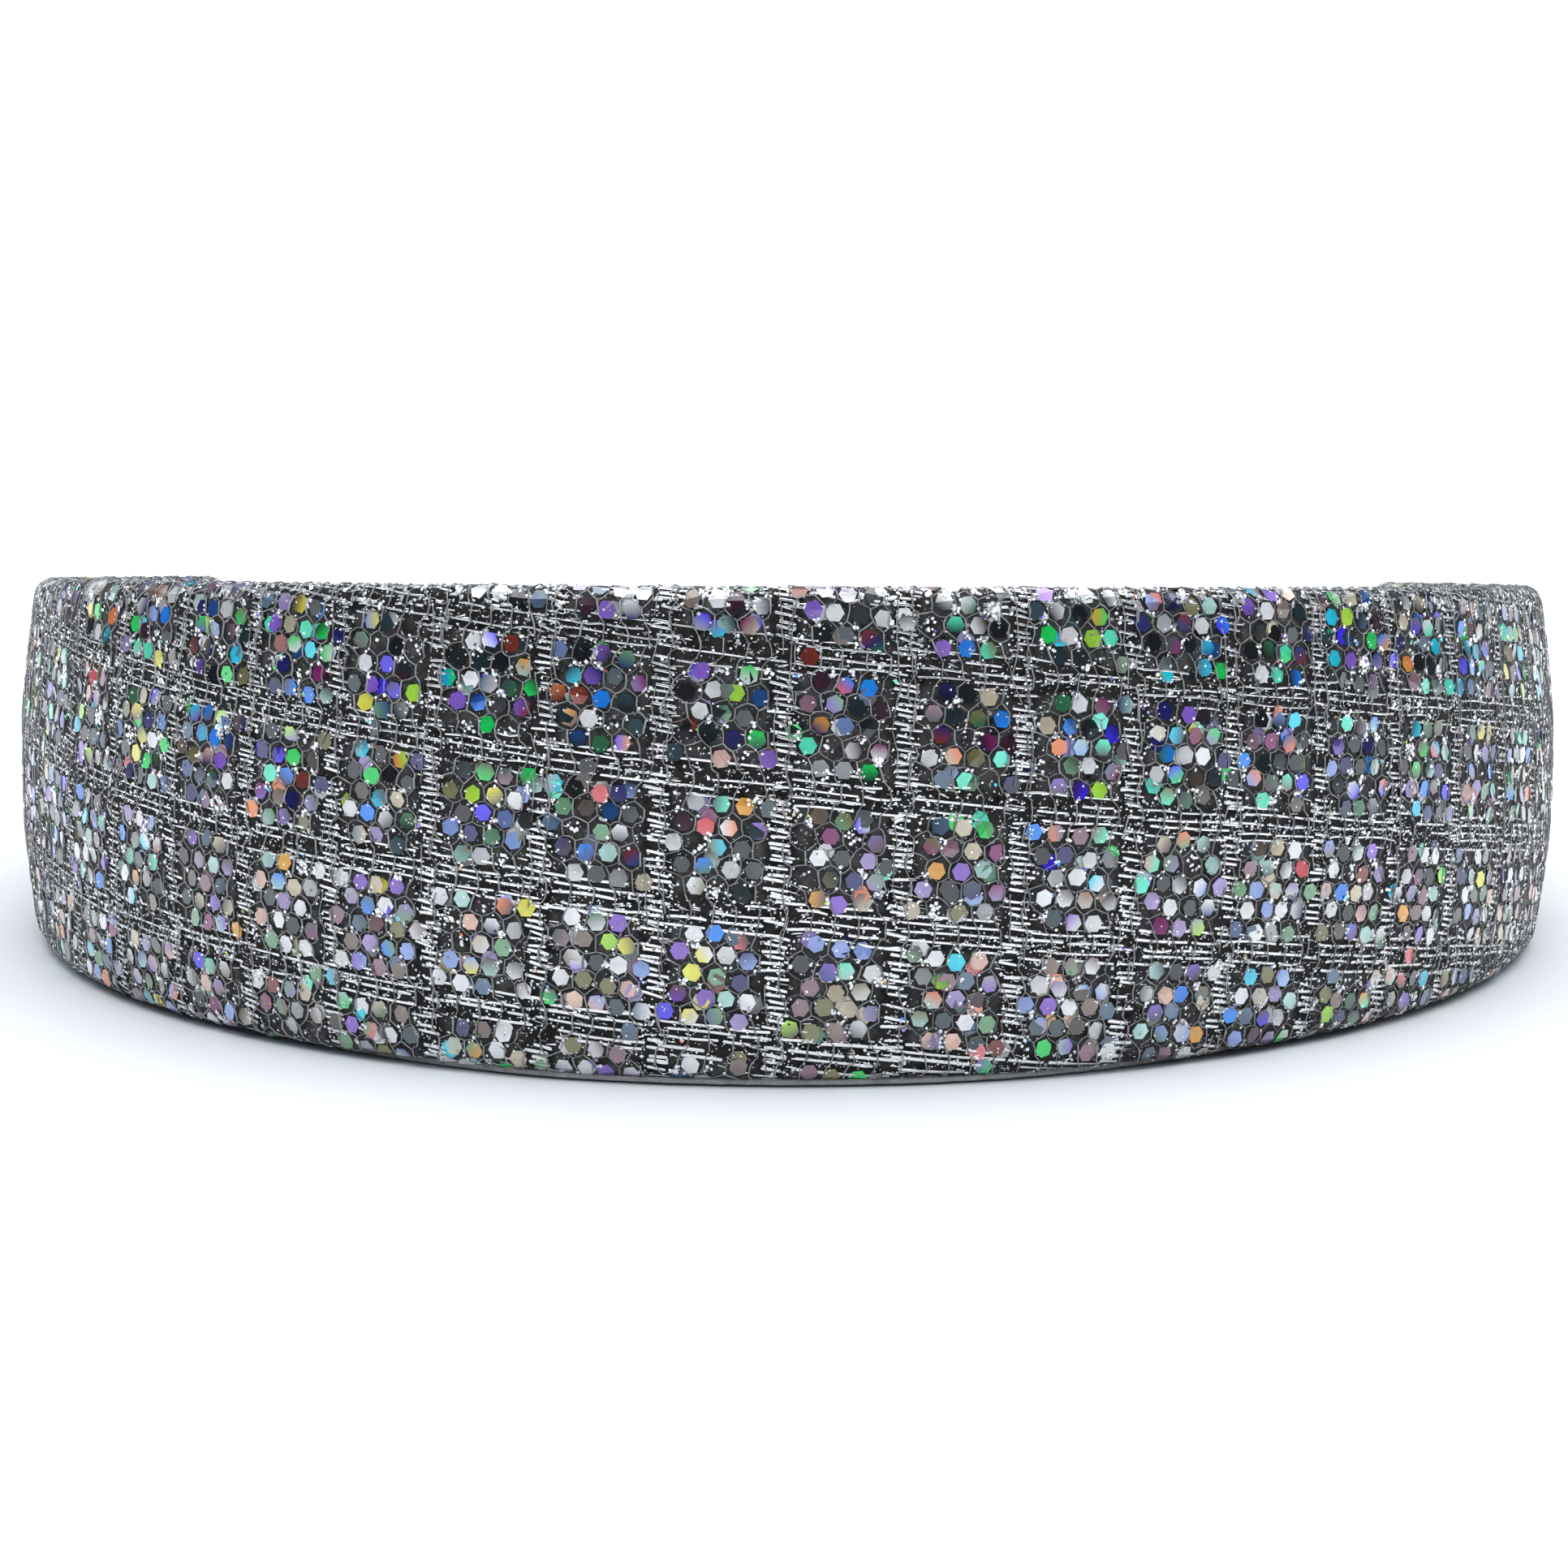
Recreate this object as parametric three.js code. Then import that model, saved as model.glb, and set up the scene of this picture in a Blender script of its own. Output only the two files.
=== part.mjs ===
// A wide headband covered in glitter cloth and lined with felt, standing on its lower edge.
// Millimetres, +Z up, the crown towards -Y. The origin lies on the resting surface, below the middle of the band.
import * as THREE from 'three';
import { mergeVertices } from 'three/addons/utils/BufferGeometryUtils.js';

// Width and face of the band
const CROWN_WIDTH = 40; // from edge to edge at the middle of the crown, lining lip included
const EDGE_TAPER = 0.123; // width lost for each millimetre back from the crown
const DOME_RISE = 1.55; // how far the face bulges out between its edges
const TIP_CORNER = 9; // radius of the rounded corners at both tips

// Layers, from the outside in
const COVER_THICKNESS = 2.2; // glitter cloth drawn tight over its hidden stiffening
const LAYER_GAP = 0.25; // clearance between cover and lining
const LINING_THICKNESS = 1.0; // felt
const LINING_LIP = 0.55; // lining that shows below the cover
const LINING_SETBACK = 2.5; // the lining stops this far short of the cover's upper edge and tips

// Seen from above, each half of the band runs through these arcs, from the crown to the tip
const PLAN = [
  { stretch: 'crown', radius: 63, sweepDeg: 32 },
  { stretch: 'shoulder', radius: 77, sweepDeg: 58 },
  { stretch: 'leg', radius: 170, sweepDeg: 20 },
];

// Facets
const LENGTH_STEPS = 96; // along the band, from tip to tip
const TIP_CROWDING = 0.18; // how much closer the steps lie at the tips, where the corners turn
const FACE_STEPS = 9; // across the domed outer face
const BACK_STEPS = 5; // across each inner face
const ROLL_STEPS = 5; // round each rolled edge

const HALF_CROWN = CROWN_WIDTH / 2;
const HALF_LENGTH = PLAN.reduce(
  (sum, arc) => sum + arc.radius * THREE.MathUtils.degToRad(arc.sweepDeg),
  0,
);
// The band tapers alike on both edges, so its middle plane leans back when the lower edge lies level.
const LEAN = Math.atan(EDGE_TAPER / 2);

// Where the outer face is, in plan, at a distance along the band from the crown's middle.
function planAt(along) {
  const side = Math.sign(along) || 1;
  let left = Math.abs(along);
  let heading = 0;
  let x = 0;
  let y = 0;
  for (const { radius, sweepDeg } of PLAN) {
    const turn = Math.min(left / radius, THREE.MathUtils.degToRad(sweepDeg));
    x += radius * (Math.sin(heading + turn) - Math.sin(heading));
    y += radius * (Math.cos(heading) - Math.cos(heading + turn));
    heading += turn;
    left -= radius * turn;
  }
  return { x: side * x, y, outX: side * Math.sin(heading), outY: -Math.cos(heading) };
}

// How far a rounded tip takes each edge in, at a distance from the end of the strip.
function cornerDrop(fromEnd) {
  const intoCorner = TIP_CORNER - fromEnd;
  if (intoCorner <= 0) return 0;
  return TIP_CORNER - Math.sqrt(Math.max(0, TIP_CORNER ** 2 - intoCorner ** 2));
}

// Takes a point of a straight strip to its place on the bent, tapered and domed band.
// depth is below the outer face, height across the strip at the crown, and share along it, from -1 to 1.
function bend(depth, height, share, halfLength) {
  const along = halfLength * (share + TIP_CROWDING * Math.sin(Math.PI * share));
  const { x, y, outX, outY } = planAt(along);
  const drop = cornerDrop(halfLength - Math.abs(along));
  const across = height / HALF_CROWN;
  const trimmed = 1 - drop / ((CROWN_WIDTH - EDGE_TAPER * y) / 2);
  const inset = depth + DOME_RISE * (across * trimmed) ** 2;
  const bentY = y - inset * outY;
  const halfWidth = (CROWN_WIDTH - EDGE_TAPER * bentY) / 2 - drop;
  return [x - inset * outX, bentY, across * halfWidth];
}

// Points on one face of a strip, between two heights.
function facePoints(fromHeight, toHeight, depth, steps) {
  return Array.from(
    { length: steps + 1 },
    (_, i) => new THREE.Vector2(depth, THREE.MathUtils.lerp(fromHeight, toHeight, i / steps)),
  );
}

// Points strictly between the two faces, round an edge rolled over a half circle. bulge is 1 upwards, -1 downwards.
function rollPoints(edgeHeight, thickness, bulge) {
  const radius = thickness / 2;
  const centre = edgeHeight - bulge * radius;
  return Array.from({ length: ROLL_STEPS - 1 }, (_, i) => {
    const turn = (Math.PI * (i + 1)) / ROLL_STEPS;
    return new THREE.Vector2(
      radius - bulge * radius * Math.cos(turn),
      centre + bulge * radius * Math.sin(turn),
    );
  });
}

// A section is drawn out into a straight strip, then bent to the plan, as one closed body.
function bentStrip(section, halfLength) {
  const strip = new THREE.ExtrudeGeometry(new THREE.Shape(section), {
    depth: 2,
    steps: LENGTH_STEPS,
    bevelEnabled: false,
  });
  const corners = strip.getAttribute('position');
  for (let i = 0; i < corners.count; i += 1) {
    const share = corners.getZ(i) - 1;
    corners.setXYZ(i, ...bend(corners.getX(i), corners.getY(i), share, halfLength));
  }
  strip.deleteAttribute('normal');
  strip.deleteAttribute('uv');
  const closed = mergeVertices(strip, 1e-3);
  closed.computeVertexNormals();
  return closed;
}

// Glitter cloth with both edges rolled over.
function makeCover() {
  const low = -HALF_CROWN + LINING_LIP;
  const high = HALF_CROWN;
  const roll = COVER_THICKNESS / 2;
  const section = [
    ...facePoints(low + roll, high - roll, 0, FACE_STEPS),
    ...rollPoints(high, COVER_THICKNESS, 1),
    ...facePoints(high - roll, low + roll, COVER_THICKNESS, BACK_STEPS),
    ...rollPoints(low, COVER_THICKNESS, -1),
  ];
  const material = new THREE.MeshStandardMaterial({ color: 0x6f7074, roughness: 0.45, metalness: 0.6 });
  const cover = new THREE.Mesh(bentStrip(section, HALF_LENGTH), material);
  cover.name = 'cover';
  return cover;
}

// Felt against the head; its square lower edge stands on the surface.
function makeLining() {
  const low = -HALF_CROWN;
  const high = HALF_CROWN - LINING_SETBACK;
  const outerDepth = COVER_THICKNESS + LAYER_GAP;
  const section = [
    ...facePoints(low, high, outerDepth, BACK_STEPS),
    ...facePoints(high, low, outerDepth + LINING_THICKNESS, BACK_STEPS),
  ];
  const material = new THREE.MeshStandardMaterial({ color: 0x6b6b6c, roughness: 0.95, metalness: 0 });
  const lining = new THREE.Mesh(bentStrip(section, HALF_LENGTH - LINING_SETBACK), material);
  lining.name = 'lining';
  return lining;
}

const headband = new THREE.Group();
headband.name = 'headband';
headband.add(makeCover(), makeLining());
headband.rotation.x = -LEAN;

// The lower edge goes down on the surface, with the middle of the band's depth over the origin.
const reach = new THREE.Box3().setFromObject(headband, true);
headband.position.set(0, -(reach.min.y + reach.max.y) / 2, -reach.min.z);

export default headband;
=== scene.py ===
"""A wide headband in glitter cloth: its cloth, flakes, tinsel, net and felt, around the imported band.

Sizes are in metres, in the part's own frame: +Z up, the crown towards -Y, the lower edge on z = 0.
Everything on the cloth is placed in cloth coordinates: along the band from the middle of the crown,
across it from its middle line, and lifted off the cloth. Layer.skin takes those to the bent band.
"""

from __future__ import annotations

import logging
import math
from collections.abc import Mapping, Sequence
from dataclasses import dataclass, replace
from enum import Enum
from functools import cached_property

import bmesh
import bpy
import numpy as np
from mathutils import Matrix, Vector

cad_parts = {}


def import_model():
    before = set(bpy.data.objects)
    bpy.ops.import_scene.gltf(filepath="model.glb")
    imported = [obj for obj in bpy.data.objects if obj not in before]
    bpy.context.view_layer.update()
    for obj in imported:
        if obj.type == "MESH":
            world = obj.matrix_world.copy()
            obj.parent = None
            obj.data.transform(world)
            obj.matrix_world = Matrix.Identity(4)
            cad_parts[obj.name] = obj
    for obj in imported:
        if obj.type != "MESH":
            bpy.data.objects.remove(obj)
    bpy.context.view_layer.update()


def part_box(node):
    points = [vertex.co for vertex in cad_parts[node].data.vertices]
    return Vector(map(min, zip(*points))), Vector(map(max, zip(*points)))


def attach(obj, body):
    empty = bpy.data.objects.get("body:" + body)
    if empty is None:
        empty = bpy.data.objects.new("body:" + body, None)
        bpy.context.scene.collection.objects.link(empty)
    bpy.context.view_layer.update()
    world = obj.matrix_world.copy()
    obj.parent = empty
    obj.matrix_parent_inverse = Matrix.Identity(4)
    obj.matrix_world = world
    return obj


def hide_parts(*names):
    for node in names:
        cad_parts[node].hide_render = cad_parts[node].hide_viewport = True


LOG = logging.getLogger("headband")
MM = 0.001
BODY = "root"
PHOTO_PIXELS = 1932
CLOTH_MAP = "cloth"
BAKE_MAP = "OFBake"
TINT = "tint"
FULL_TURN = 2 * math.pi

Colour = tuple[float, float, float]
Range = tuple[float, float]
Array = np.ndarray


# Shader graphs


class Value:
    """A node's output that takes part in sums: each operator adds the Math node for it."""

    def __init__(self, graph: Graph, socket: bpy.types.NodeSocket) -> None:
        """Keeps the graph that the socket belongs to."""
        self.graph = graph
        self.socket = socket

    def _math(self, operation: str, first: Value | float, second: Value | float = 0.0) -> Value:
        """Adds one Math node."""
        return self.graph.add("ShaderNodeMath", {"operation": operation}, {0: first, 1: second})

    def __add__(self, other: Value | float) -> Value:
        """self + other."""
        return self._math("ADD", self, other)

    __radd__ = __add__

    def __mul__(self, other: Value | float) -> Value:
        """self * other."""
        return self._math("MULTIPLY", self, other)

    __rmul__ = __mul__

    def __sub__(self, other: Value | float) -> Value:
        """self - other."""
        return self._math("SUBTRACT", self, other)

    def __rsub__(self, other: Value | float) -> Value:
        """other - self."""
        return self._math("SUBTRACT", other, self)

    def __gt__(self, other: Value | float) -> Value:
        """1 where self is the greater, else 0."""
        return self._math("GREATER_THAN", self, other)

    def __lt__(self, other: Value | float) -> Value:
        """1 where self is the smaller, else 0."""
        return self._math("LESS_THAN", self, other)

    def sine(self) -> Value:
        """The sine of self."""
        return self._math("SINE", self)

    def between(self, low: float, high: float, to_low: float, to_high: float) -> Value:
        """Maps a range to another, held at both ends.

        Args:
            low: the value that becomes to_low.
            high: the value that becomes to_high.
            to_low: the result at low.
            to_high: the result at high.

        Returns:
            The mapped value.
        """
        return self.graph.add(
            "ShaderNodeMapRange",
            {"clamp": True},
            {"Value": self, "From Min": low, "From Max": high, "To Min": to_low, "To Max": to_high},
        )


class Graph:
    """A node tree that is filled through one method."""

    def __init__(self, tree: bpy.types.NodeTree) -> None:
        """Starts from an empty tree."""
        self.tree = tree
        tree.nodes.clear()

    def add(
        self,
        kind: str,
        settings: Mapping[str, object] | None = None,
        inputs: Mapping[str | int, object] | None = None,
        output: str | int = 0,
    ) -> Value | None:
        """Adds a node.

        Args:
            kind: the node's type.
            settings: the node's own settings; a ramp's are its stops, as (position, colour) pairs.
            inputs: a value or a link for each socket, by name or number.
            output: the output that is wanted.

        Returns:
            That output, or None for a node that has none.
        """
        node = self.tree.nodes.new(kind)
        for name, setting in (settings or {}).items():
            if name == "stops":
                self._set_stops(node.color_ramp, setting)
            else:
                setattr(node, name, setting)
        for name, value in (inputs or {}).items():
            if isinstance(value, Value):
                self.tree.links.new(value.socket, node.inputs[name])
            else:
                node.inputs[name].default_value = value
        return Value(self, node.outputs[output]) if node.outputs else None

    @staticmethod
    def _set_stops(ramp: bpy.types.ColorRamp, stops: Sequence[tuple[float, Colour]]) -> None:
        """Gives a ramp its stops, in order."""
        while len(ramp.elements) < len(stops):
            ramp.elements.new(1.0)
        for element, (position, colour) in zip(ramp.elements, stops):
            element.position = position
            element.color = (*colour, 1.0)

    def blend(self, share: Value | float, start: Value | Colour, end: Value | Colour) -> Value:
        """Mixes two colours.

        Args:
            share: 0 gives start and 1 gives end.
            start: the first colour.
            end: the second colour.

        Returns:
            The mixed colour.
        """
        ends = [colour if isinstance(colour, Value) else (*colour, 1.0) for colour in (start, end)]
        return self.add("ShaderNodeMix", {"data_type": "RGBA"}, {0: share, 6: ends[0], 7: ends[1]}, 2)

    def noise(
        self,
        place: Value,
        per_metre: float,
        detail: float = 2.0,
        distortion: float = 0.0,
    ) -> Value:
        """Adds a noise.

        Args:
            place: the coordinates.
            per_metre: how many patches there are to a metre.
            detail: how many finer layers it has.
            distortion: how far it is warped.

        Returns:
            The noise, from 0 to 1.
        """
        sizes = {"Vector": place, "Scale": per_metre, "Detail": detail, "Distortion": distortion}
        return self.add("ShaderNodeTexNoise", None, sizes, "Fac")

    def object_place(self) -> Value:
        """The place on the piece, in metres."""
        return self.add("ShaderNodeTexCoord", None, None, "Object")

    def bump(self, height: Value, strength: float, metres: float) -> Value:
        """A normal that follows a height of 0 to 1."""
        return self.add(
            "ShaderNodeBump", None, {"Height": height, "Strength": strength, "Distance": metres}, "Normal"
        )

    def finish(self, sockets: Mapping[str, object]) -> None:
        """Ends a material with a Principled shader that has these sockets."""
        shader = self.add("ShaderNodeBsdfPrincipled", None, sockets)
        self.add("ShaderNodeOutputMaterial", None, {"Surface": shader})


def new_material(name: str) -> tuple[bpy.types.Material, Graph]:
    """A material and its empty graph."""
    material = bpy.data.materials.new(name)
    material.use_nodes = True
    return material, Graph(material.node_tree)


# Finishes


@dataclass(frozen=True)
class GroundCloth:
    """Charcoal cloth with a plain weave and a dust of fine glitter, with painted shade where tinsel lies
    on it.
    """

    plaid: Plaid
    name: str = "ground_cloth"
    dark: Colour = (0.004, 0.0037, 0.0034)
    pale: Colour = (0.106, 0.103, 0.099)
    roughness: float = 0.85
    specular: float = 0.06
    sheen: float = 0.3
    sheen_roughness: float = 0.35
    threads_per_metre: float = 2600.0
    weave_in_shade: float = 0.05
    weave_in_relief: float = 0.15
    relief: float = 0.06 * MM
    relief_strength: float = 0.5
    mottle_per_metre: float = 900.0
    mottle_range: Range = (0.2, 0.8)
    painted_shade_under_tinsel: float = 0.55
    stripe_range: Range = (0.55, 0.80)
    dust: Colour = (0.62, 0.62, 0.64)
    dust_per_metre: float = 6400.0
    dust_radius: float = 0.34
    dust_share: float = 0.05
    dust_metallic: float = 0.7
    dust_gloss: float = 0.5

    def material(self) -> bpy.types.Material:
        """Builds the cloth from its own map, which runs along and across the band in metres."""
        material, graph = new_material(self.name)
        cloth = graph.add("ShaderNodeUVMap", {"uv_map": CLOTH_MAP}, None)
        along = graph.add("ShaderNodeSeparateXYZ", None, {0: cloth}, "X")
        across = graph.add("ShaderNodeSeparateXYZ", None, {0: cloth}, "Y")
        turns = FULL_TURN * self.threads_per_metre / 2
        weave = (along * turns).sine() * (across * turns).sine()
        mottle = graph.noise(graph.object_place(), self.mottle_per_metre, detail=4.0)
        rise = across + along * self.plaid.row_fall
        span = along * (1 + self.plaid.bar_lean * self.plaid.row_fall) - rise * self.plaid.bar_lean
        rows = self._stripe(rise, self.plaid.row_offset, self.plaid.row_pitch)
        bars = self._stripe(span, self.plaid.bar_offset, self.plaid.bar_pitch)
        shade = (weave * self.weave_in_shade + mottle).between(*self.mottle_range, 0.0, 1.0)
        # Painted shade: the cloth is made darker under the rows and bars of tinsel, where the raised
        # threads shade it.
        shade = shade * (rows + bars).between(0.0, 1.0, 1.0, 1.0 - self.painted_shade_under_tinsel)
        grain = {"Vector": cloth, "Scale": self.dust_per_metre}
        spot = graph.add("ShaderNodeTexVoronoi", {"voronoi_dimensions": "2D"}, grain, "Distance")
        pick = graph.add("ShaderNodeTexVoronoi", {"voronoi_dimensions": "2D"}, grain, "Color")
        chosen = graph.add("ShaderNodeSeparateColor", None, {0: pick}, "Red") < self.dust_share
        dusted = (spot < self.dust_radius) * chosen
        ground = graph.blend(shade, self.dark, self.pale)
        graph.finish(
            {
                "Base Color": graph.blend(dusted, ground, self.dust),
                "Metallic": dusted * self.dust_metallic,
                "Specular IOR Level": self.specular,
                "Sheen Weight": self.sheen,
                "Sheen Roughness": self.sheen_roughness,
                "Roughness": self.roughness - dusted * self.dust_gloss,
                "Normal": graph.bump(
                    weave * self.weave_in_relief + mottle, self.relief_strength, self.relief
                ),
            }
        )
        return material

    def _stripe(self, place: Value, offset: float, pitch: float) -> Value:
        """1 under each line of tinsel, and 0 between the lines: where the painted shade goes."""
        turns = FULL_TURN / pitch
        wave = (place * turns + (math.pi / 2 - offset * turns)).sine()
        return wave.between(*self.stripe_range, 0.0, 1.0)


@dataclass(frozen=True)
class Felt:
    """Grey pressed felt: tangled fibres, with painted light that makes it lighter where its relief stands
    up.
    """

    name: str = "felt"
    dark: Colour = (0.105, 0.103, 0.100)
    pale: Colour = (0.270, 0.264, 0.258)
    fibre_per_metre: float = 5200.0
    clump_per_metre: float = 650.0
    fibre_share: float = 0.7
    shade_range: Range = (0.32, 0.66)
    roughness: float = 0.96
    sheen: float = 0.35
    sheen_roughness: float = 0.5
    relief: float = 0.16 * MM
    relief_strength: float = 0.9

    def material(self) -> bpy.types.Material:
        """Builds the felt on the piece's own place."""
        material, graph = new_material(self.name)
        place = graph.object_place()
        fibre = graph.noise(place, self.fibre_per_metre, detail=5.0, distortion=1.6)
        clump = graph.noise(place, self.clump_per_metre, detail=3.0, distortion=0.5)
        height = fibre * self.fibre_share + clump * (1 - self.fibre_share)
        # Painted light: the colour follows the relief, lighter on the raised fibres and darker in the
        # hollows.
        shade = height.between(*self.shade_range, 0.0, 1.0)
        graph.finish(
            {
                "Base Color": graph.blend(shade, self.dark, self.pale),
                "Roughness": self.roughness,
                "Sheen Weight": self.sheen,
                "Sheen Roughness": self.sheen_roughness,
                "Normal": graph.bump(height, self.relief_strength, self.relief),
            }
        )
        return material


FELT = Felt()
# The lip's felt is the same felt made more than twice as light: painted light that makes up for the shade
# under the cloth's rolled lower edge.
FELT_EDGE_PAINTED_LIGHT = Felt("felt_edge_painted_light", dark=(0.26, 0.25, 0.24), pale=(0.60, 0.58, 0.56))


@dataclass(frozen=True)
class Glint:
    """A small bright thing's finish. Its colour is the piece's own tint, one for each copy."""

    name: str
    metallic: float
    roughness: float
    roughness_spread: float
    grain_per_metre: float
    relief: float
    relief_strength: float = 0.35
    grain_range: Range = (0.3, 0.7)
    coat: float = 0.0
    coat_ior: float = 1.5
    coat_roughness: float = 0.12
    clouded: float = 0.0
    cloud_per_metre: float = 1100.0
    cloud_range: Range = (0.35, 0.75)

    def material(self) -> bpy.types.Material:
        """Builds the finish on the tint, with a fine grain in its gloss and relief."""
        material, graph = new_material(self.name)
        tint = graph.add("ShaderNodeAttribute", {"attribute_name": TINT}, None, "Color")
        place = graph.object_place()
        grain = graph.noise(place, self.grain_per_metre, detail=3.0, distortion=0.4)
        if self.clouded:
            cloud = graph.noise(place, self.cloud_per_metre).between(*self.cloud_range, 0.0, self.clouded)
            tint = graph.blend(cloud, tint, (0.0, 0.0, 0.0))
        low = self.roughness - self.roughness_spread
        high = self.roughness + self.roughness_spread
        graph.finish(
            {
                "Base Color": tint,
                "Metallic": self.metallic,
                "Coat Weight": self.coat,
                "Coat IOR": self.coat_ior,
                "Coat Roughness": self.coat_roughness,
                "Roughness": grain.between(*self.grain_range, low, high),
                "Normal": graph.bump(grain, self.relief_strength, self.relief),
            }
        )
        return material


FOIL = Glint(
    "flake_foil",
    metallic=0.20,
    roughness=0.24,
    roughness_spread=0.05,
    grain_per_metre=2600.0,
    relief=0.006 * MM,
    coat=1.0,
    coat_ior=1.7,
    clouded=0.18,
)
TINSEL = Glint(
    "tinsel",
    metallic=0.92,
    roughness=0.17,
    roughness_spread=0.05,
    grain_per_metre=5200.0,
    relief=0.01 * MM,
)
TULLE = Glint(
    "tulle",
    metallic=0.0,
    roughness=0.55,
    roughness_spread=0.10,
    grain_per_metre=7000.0,
    relief=0.03 * MM,
)
GRAIN = Glint(
    "glitter_grain",
    metallic=0.75,
    roughness=0.20,
    roughness_spread=0.06,
    grain_per_metre=6000.0,
    relief=0.005 * MM,
    coat=1.0,
    coat_ior=1.8,
)


@dataclass(frozen=True)
class StudioFloor:
    """A matt white sheet."""

    name: str = "studio_floor"
    colour: Colour = (0.890, 0.900, 0.915)
    shade: Colour = (0.860, 0.870, 0.885)
    patches_per_metre: float = 9.0
    roughness: float = 0.7

    def material(self) -> bpy.types.Material:
        """Builds the floor, with a barely uneven white."""
        material, graph = new_material(self.name)
        uneven = graph.noise(graph.object_place(), self.patches_per_metre)
        white = graph.blend(uneven, self.colour, self.shade)
        graph.finish({"Base Color": white, "Roughness": self.roughness})
        return material


# Heights up the face for the flakes' painted reflection: the low odds of a tone hold up to the first, its
# middle odds between the next two and its top odds at the last. Paler tones below, darker and more
# saturated ones above and white at the top paint what the flakes reflect.
PAINTED_REFLECTION_HEIGHTS = (0.20, 0.74, 0.93, 1.0)


@dataclass(frozen=True)
class Tone:
    """A foil colour, and how often it turns up at the lower edge, above the middle and at the top: odds
    that change with height as painted reflection.
    """

    colour: Colour
    low: float
    middle: float
    top: float

    @property
    def odds(self) -> tuple[float, ...]:
        """How often it turns up at each of the heights, where the odds paint the flakes' reflection."""
        return self.low, self.middle, self.middle, self.top


class Foil(Enum):
    """The colours that the flakes show."""

    INK = Tone((0.004, 0.005, 0.007), 3, 30, 9)
    TEAL_BLACK = Tone((0.008, 0.024, 0.030), 2.5, 24, 7)
    PLUM_BLACK = Tone((0.045, 0.006, 0.022), 1, 10, 4)
    NAVY = Tone((0.010, 0.011, 0.140), 1.5, 15, 5)
    DEEP_BLUE = Tone((0.012, 0.075, 0.270), 2, 10, 3)
    ULTRAMARINE = Tone((0.055, 0.025, 0.950), 1.2, 6, 1.2)
    AZURE = Tone((0.010, 0.260, 0.950), 1.4, 9, 1.2)
    CYAN = Tone((0.020, 0.720, 0.950), 1.6, 7, 1.5)
    AQUA = Tone((0.120, 0.950, 0.600), 1.8, 7, 1)
    EMERALD = Tone((0.010, 0.780, 0.130), 1.6, 9, 1)
    FOREST = Tone((0.032, 0.170, 0.070), 1.5, 5, 2)
    LIME = Tone((0.480, 0.900, 0.070), 1.2, 3.5, 0.6)
    YELLOW = Tone((0.950, 0.850, 0.090), 2, 2.2, 1)
    AMBER = Tone((0.850, 0.380, 0.035), 2.2, 2.6, 0.8)
    ORANGE = Tone((0.940, 0.250, 0.085), 3, 3, 0.6)
    CORAL = Tone((0.950, 0.180, 0.200), 1.8, 3, 0.8)
    RUST = Tone((0.240, 0.028, 0.012), 0.8, 4.5, 2.5)
    MAGENTA = Tone((0.240, 0.012, 0.140), 0.8, 5, 2.5)
    VIOLET = Tone((0.270, 0.120, 0.620), 4.5, 8, 3)
    LILAC = Tone((0.370, 0.280, 0.550), 5.5, 3.5, 3)
    PERIWINKLE = Tone((0.300, 0.430, 0.840), 5, 3.5, 3)
    STEEL = Tone((0.100, 0.170, 0.260), 6, 3, 3)
    SLATE = Tone((0.038, 0.075, 0.090), 6, 4, 5)
    PEWTER = Tone((0.075, 0.056, 0.040), 6, 4, 4)
    TAUPE = Tone((0.230, 0.170, 0.140), 7, 3.5, 4)
    ROSE_TAUPE = Tone((0.290, 0.160, 0.195), 6, 3, 2)
    OLIVE = Tone((0.200, 0.185, 0.065), 5, 4, 3)
    SAGE = Tone((0.180, 0.380, 0.200), 6, 3.5, 2)
    SILVER = Tone((0.430, 0.430, 0.445), 5, 2.5, 10)
    MINT = Tone((0.440, 0.680, 0.620), 6, 2.5, 6)
    CREAM = Tone((0.640, 0.550, 0.390), 6, 2.5, 7)
    PEACH = Tone((0.800, 0.500, 0.400), 4, 1, 2)
    PEARL = Tone((0.780, 0.770, 0.750), 11, 5, 14)
    WHITE = Tone((0.950, 0.950, 0.950), 13, 7.5, 40)

    @classmethod
    def draw(cls, rng: np.random.Generator, height: Array) -> Array:
        """Draws a colour for each flake, with odds that change with height as painted reflection: paler
        near the lower edge, darker and more saturated above the middle, and whiter at the top.

        Args:
            rng: the random source.
            height: 0 at the lower edge of the band, 1 at the upper.

        Returns:
            One colour for each height.
        """
        tones = [foil.value for foil in cls]
        odds = np.array([tone.odds for tone in tones])
        odds = odds / odds.sum(axis=0)
        odds = np.stack([np.interp(height, PAINTED_REFLECTION_HEIGHTS, row) for row in odds], axis=1)
        picked = (rng.random((len(height), 1)) > np.cumsum(odds, axis=1)).sum(axis=1)
        return np.array([tone.colour for tone in tones])[np.minimum(picked, len(tones) - 1)]


# The band's shape


@dataclass(frozen=True)
class Arc:
    """One stretch of the band, seen from above."""

    radius: float
    sweep_deg: float

    @property
    def sweep(self) -> float:
        """The sweep in radians."""
        return math.radians(self.sweep_deg)


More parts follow.
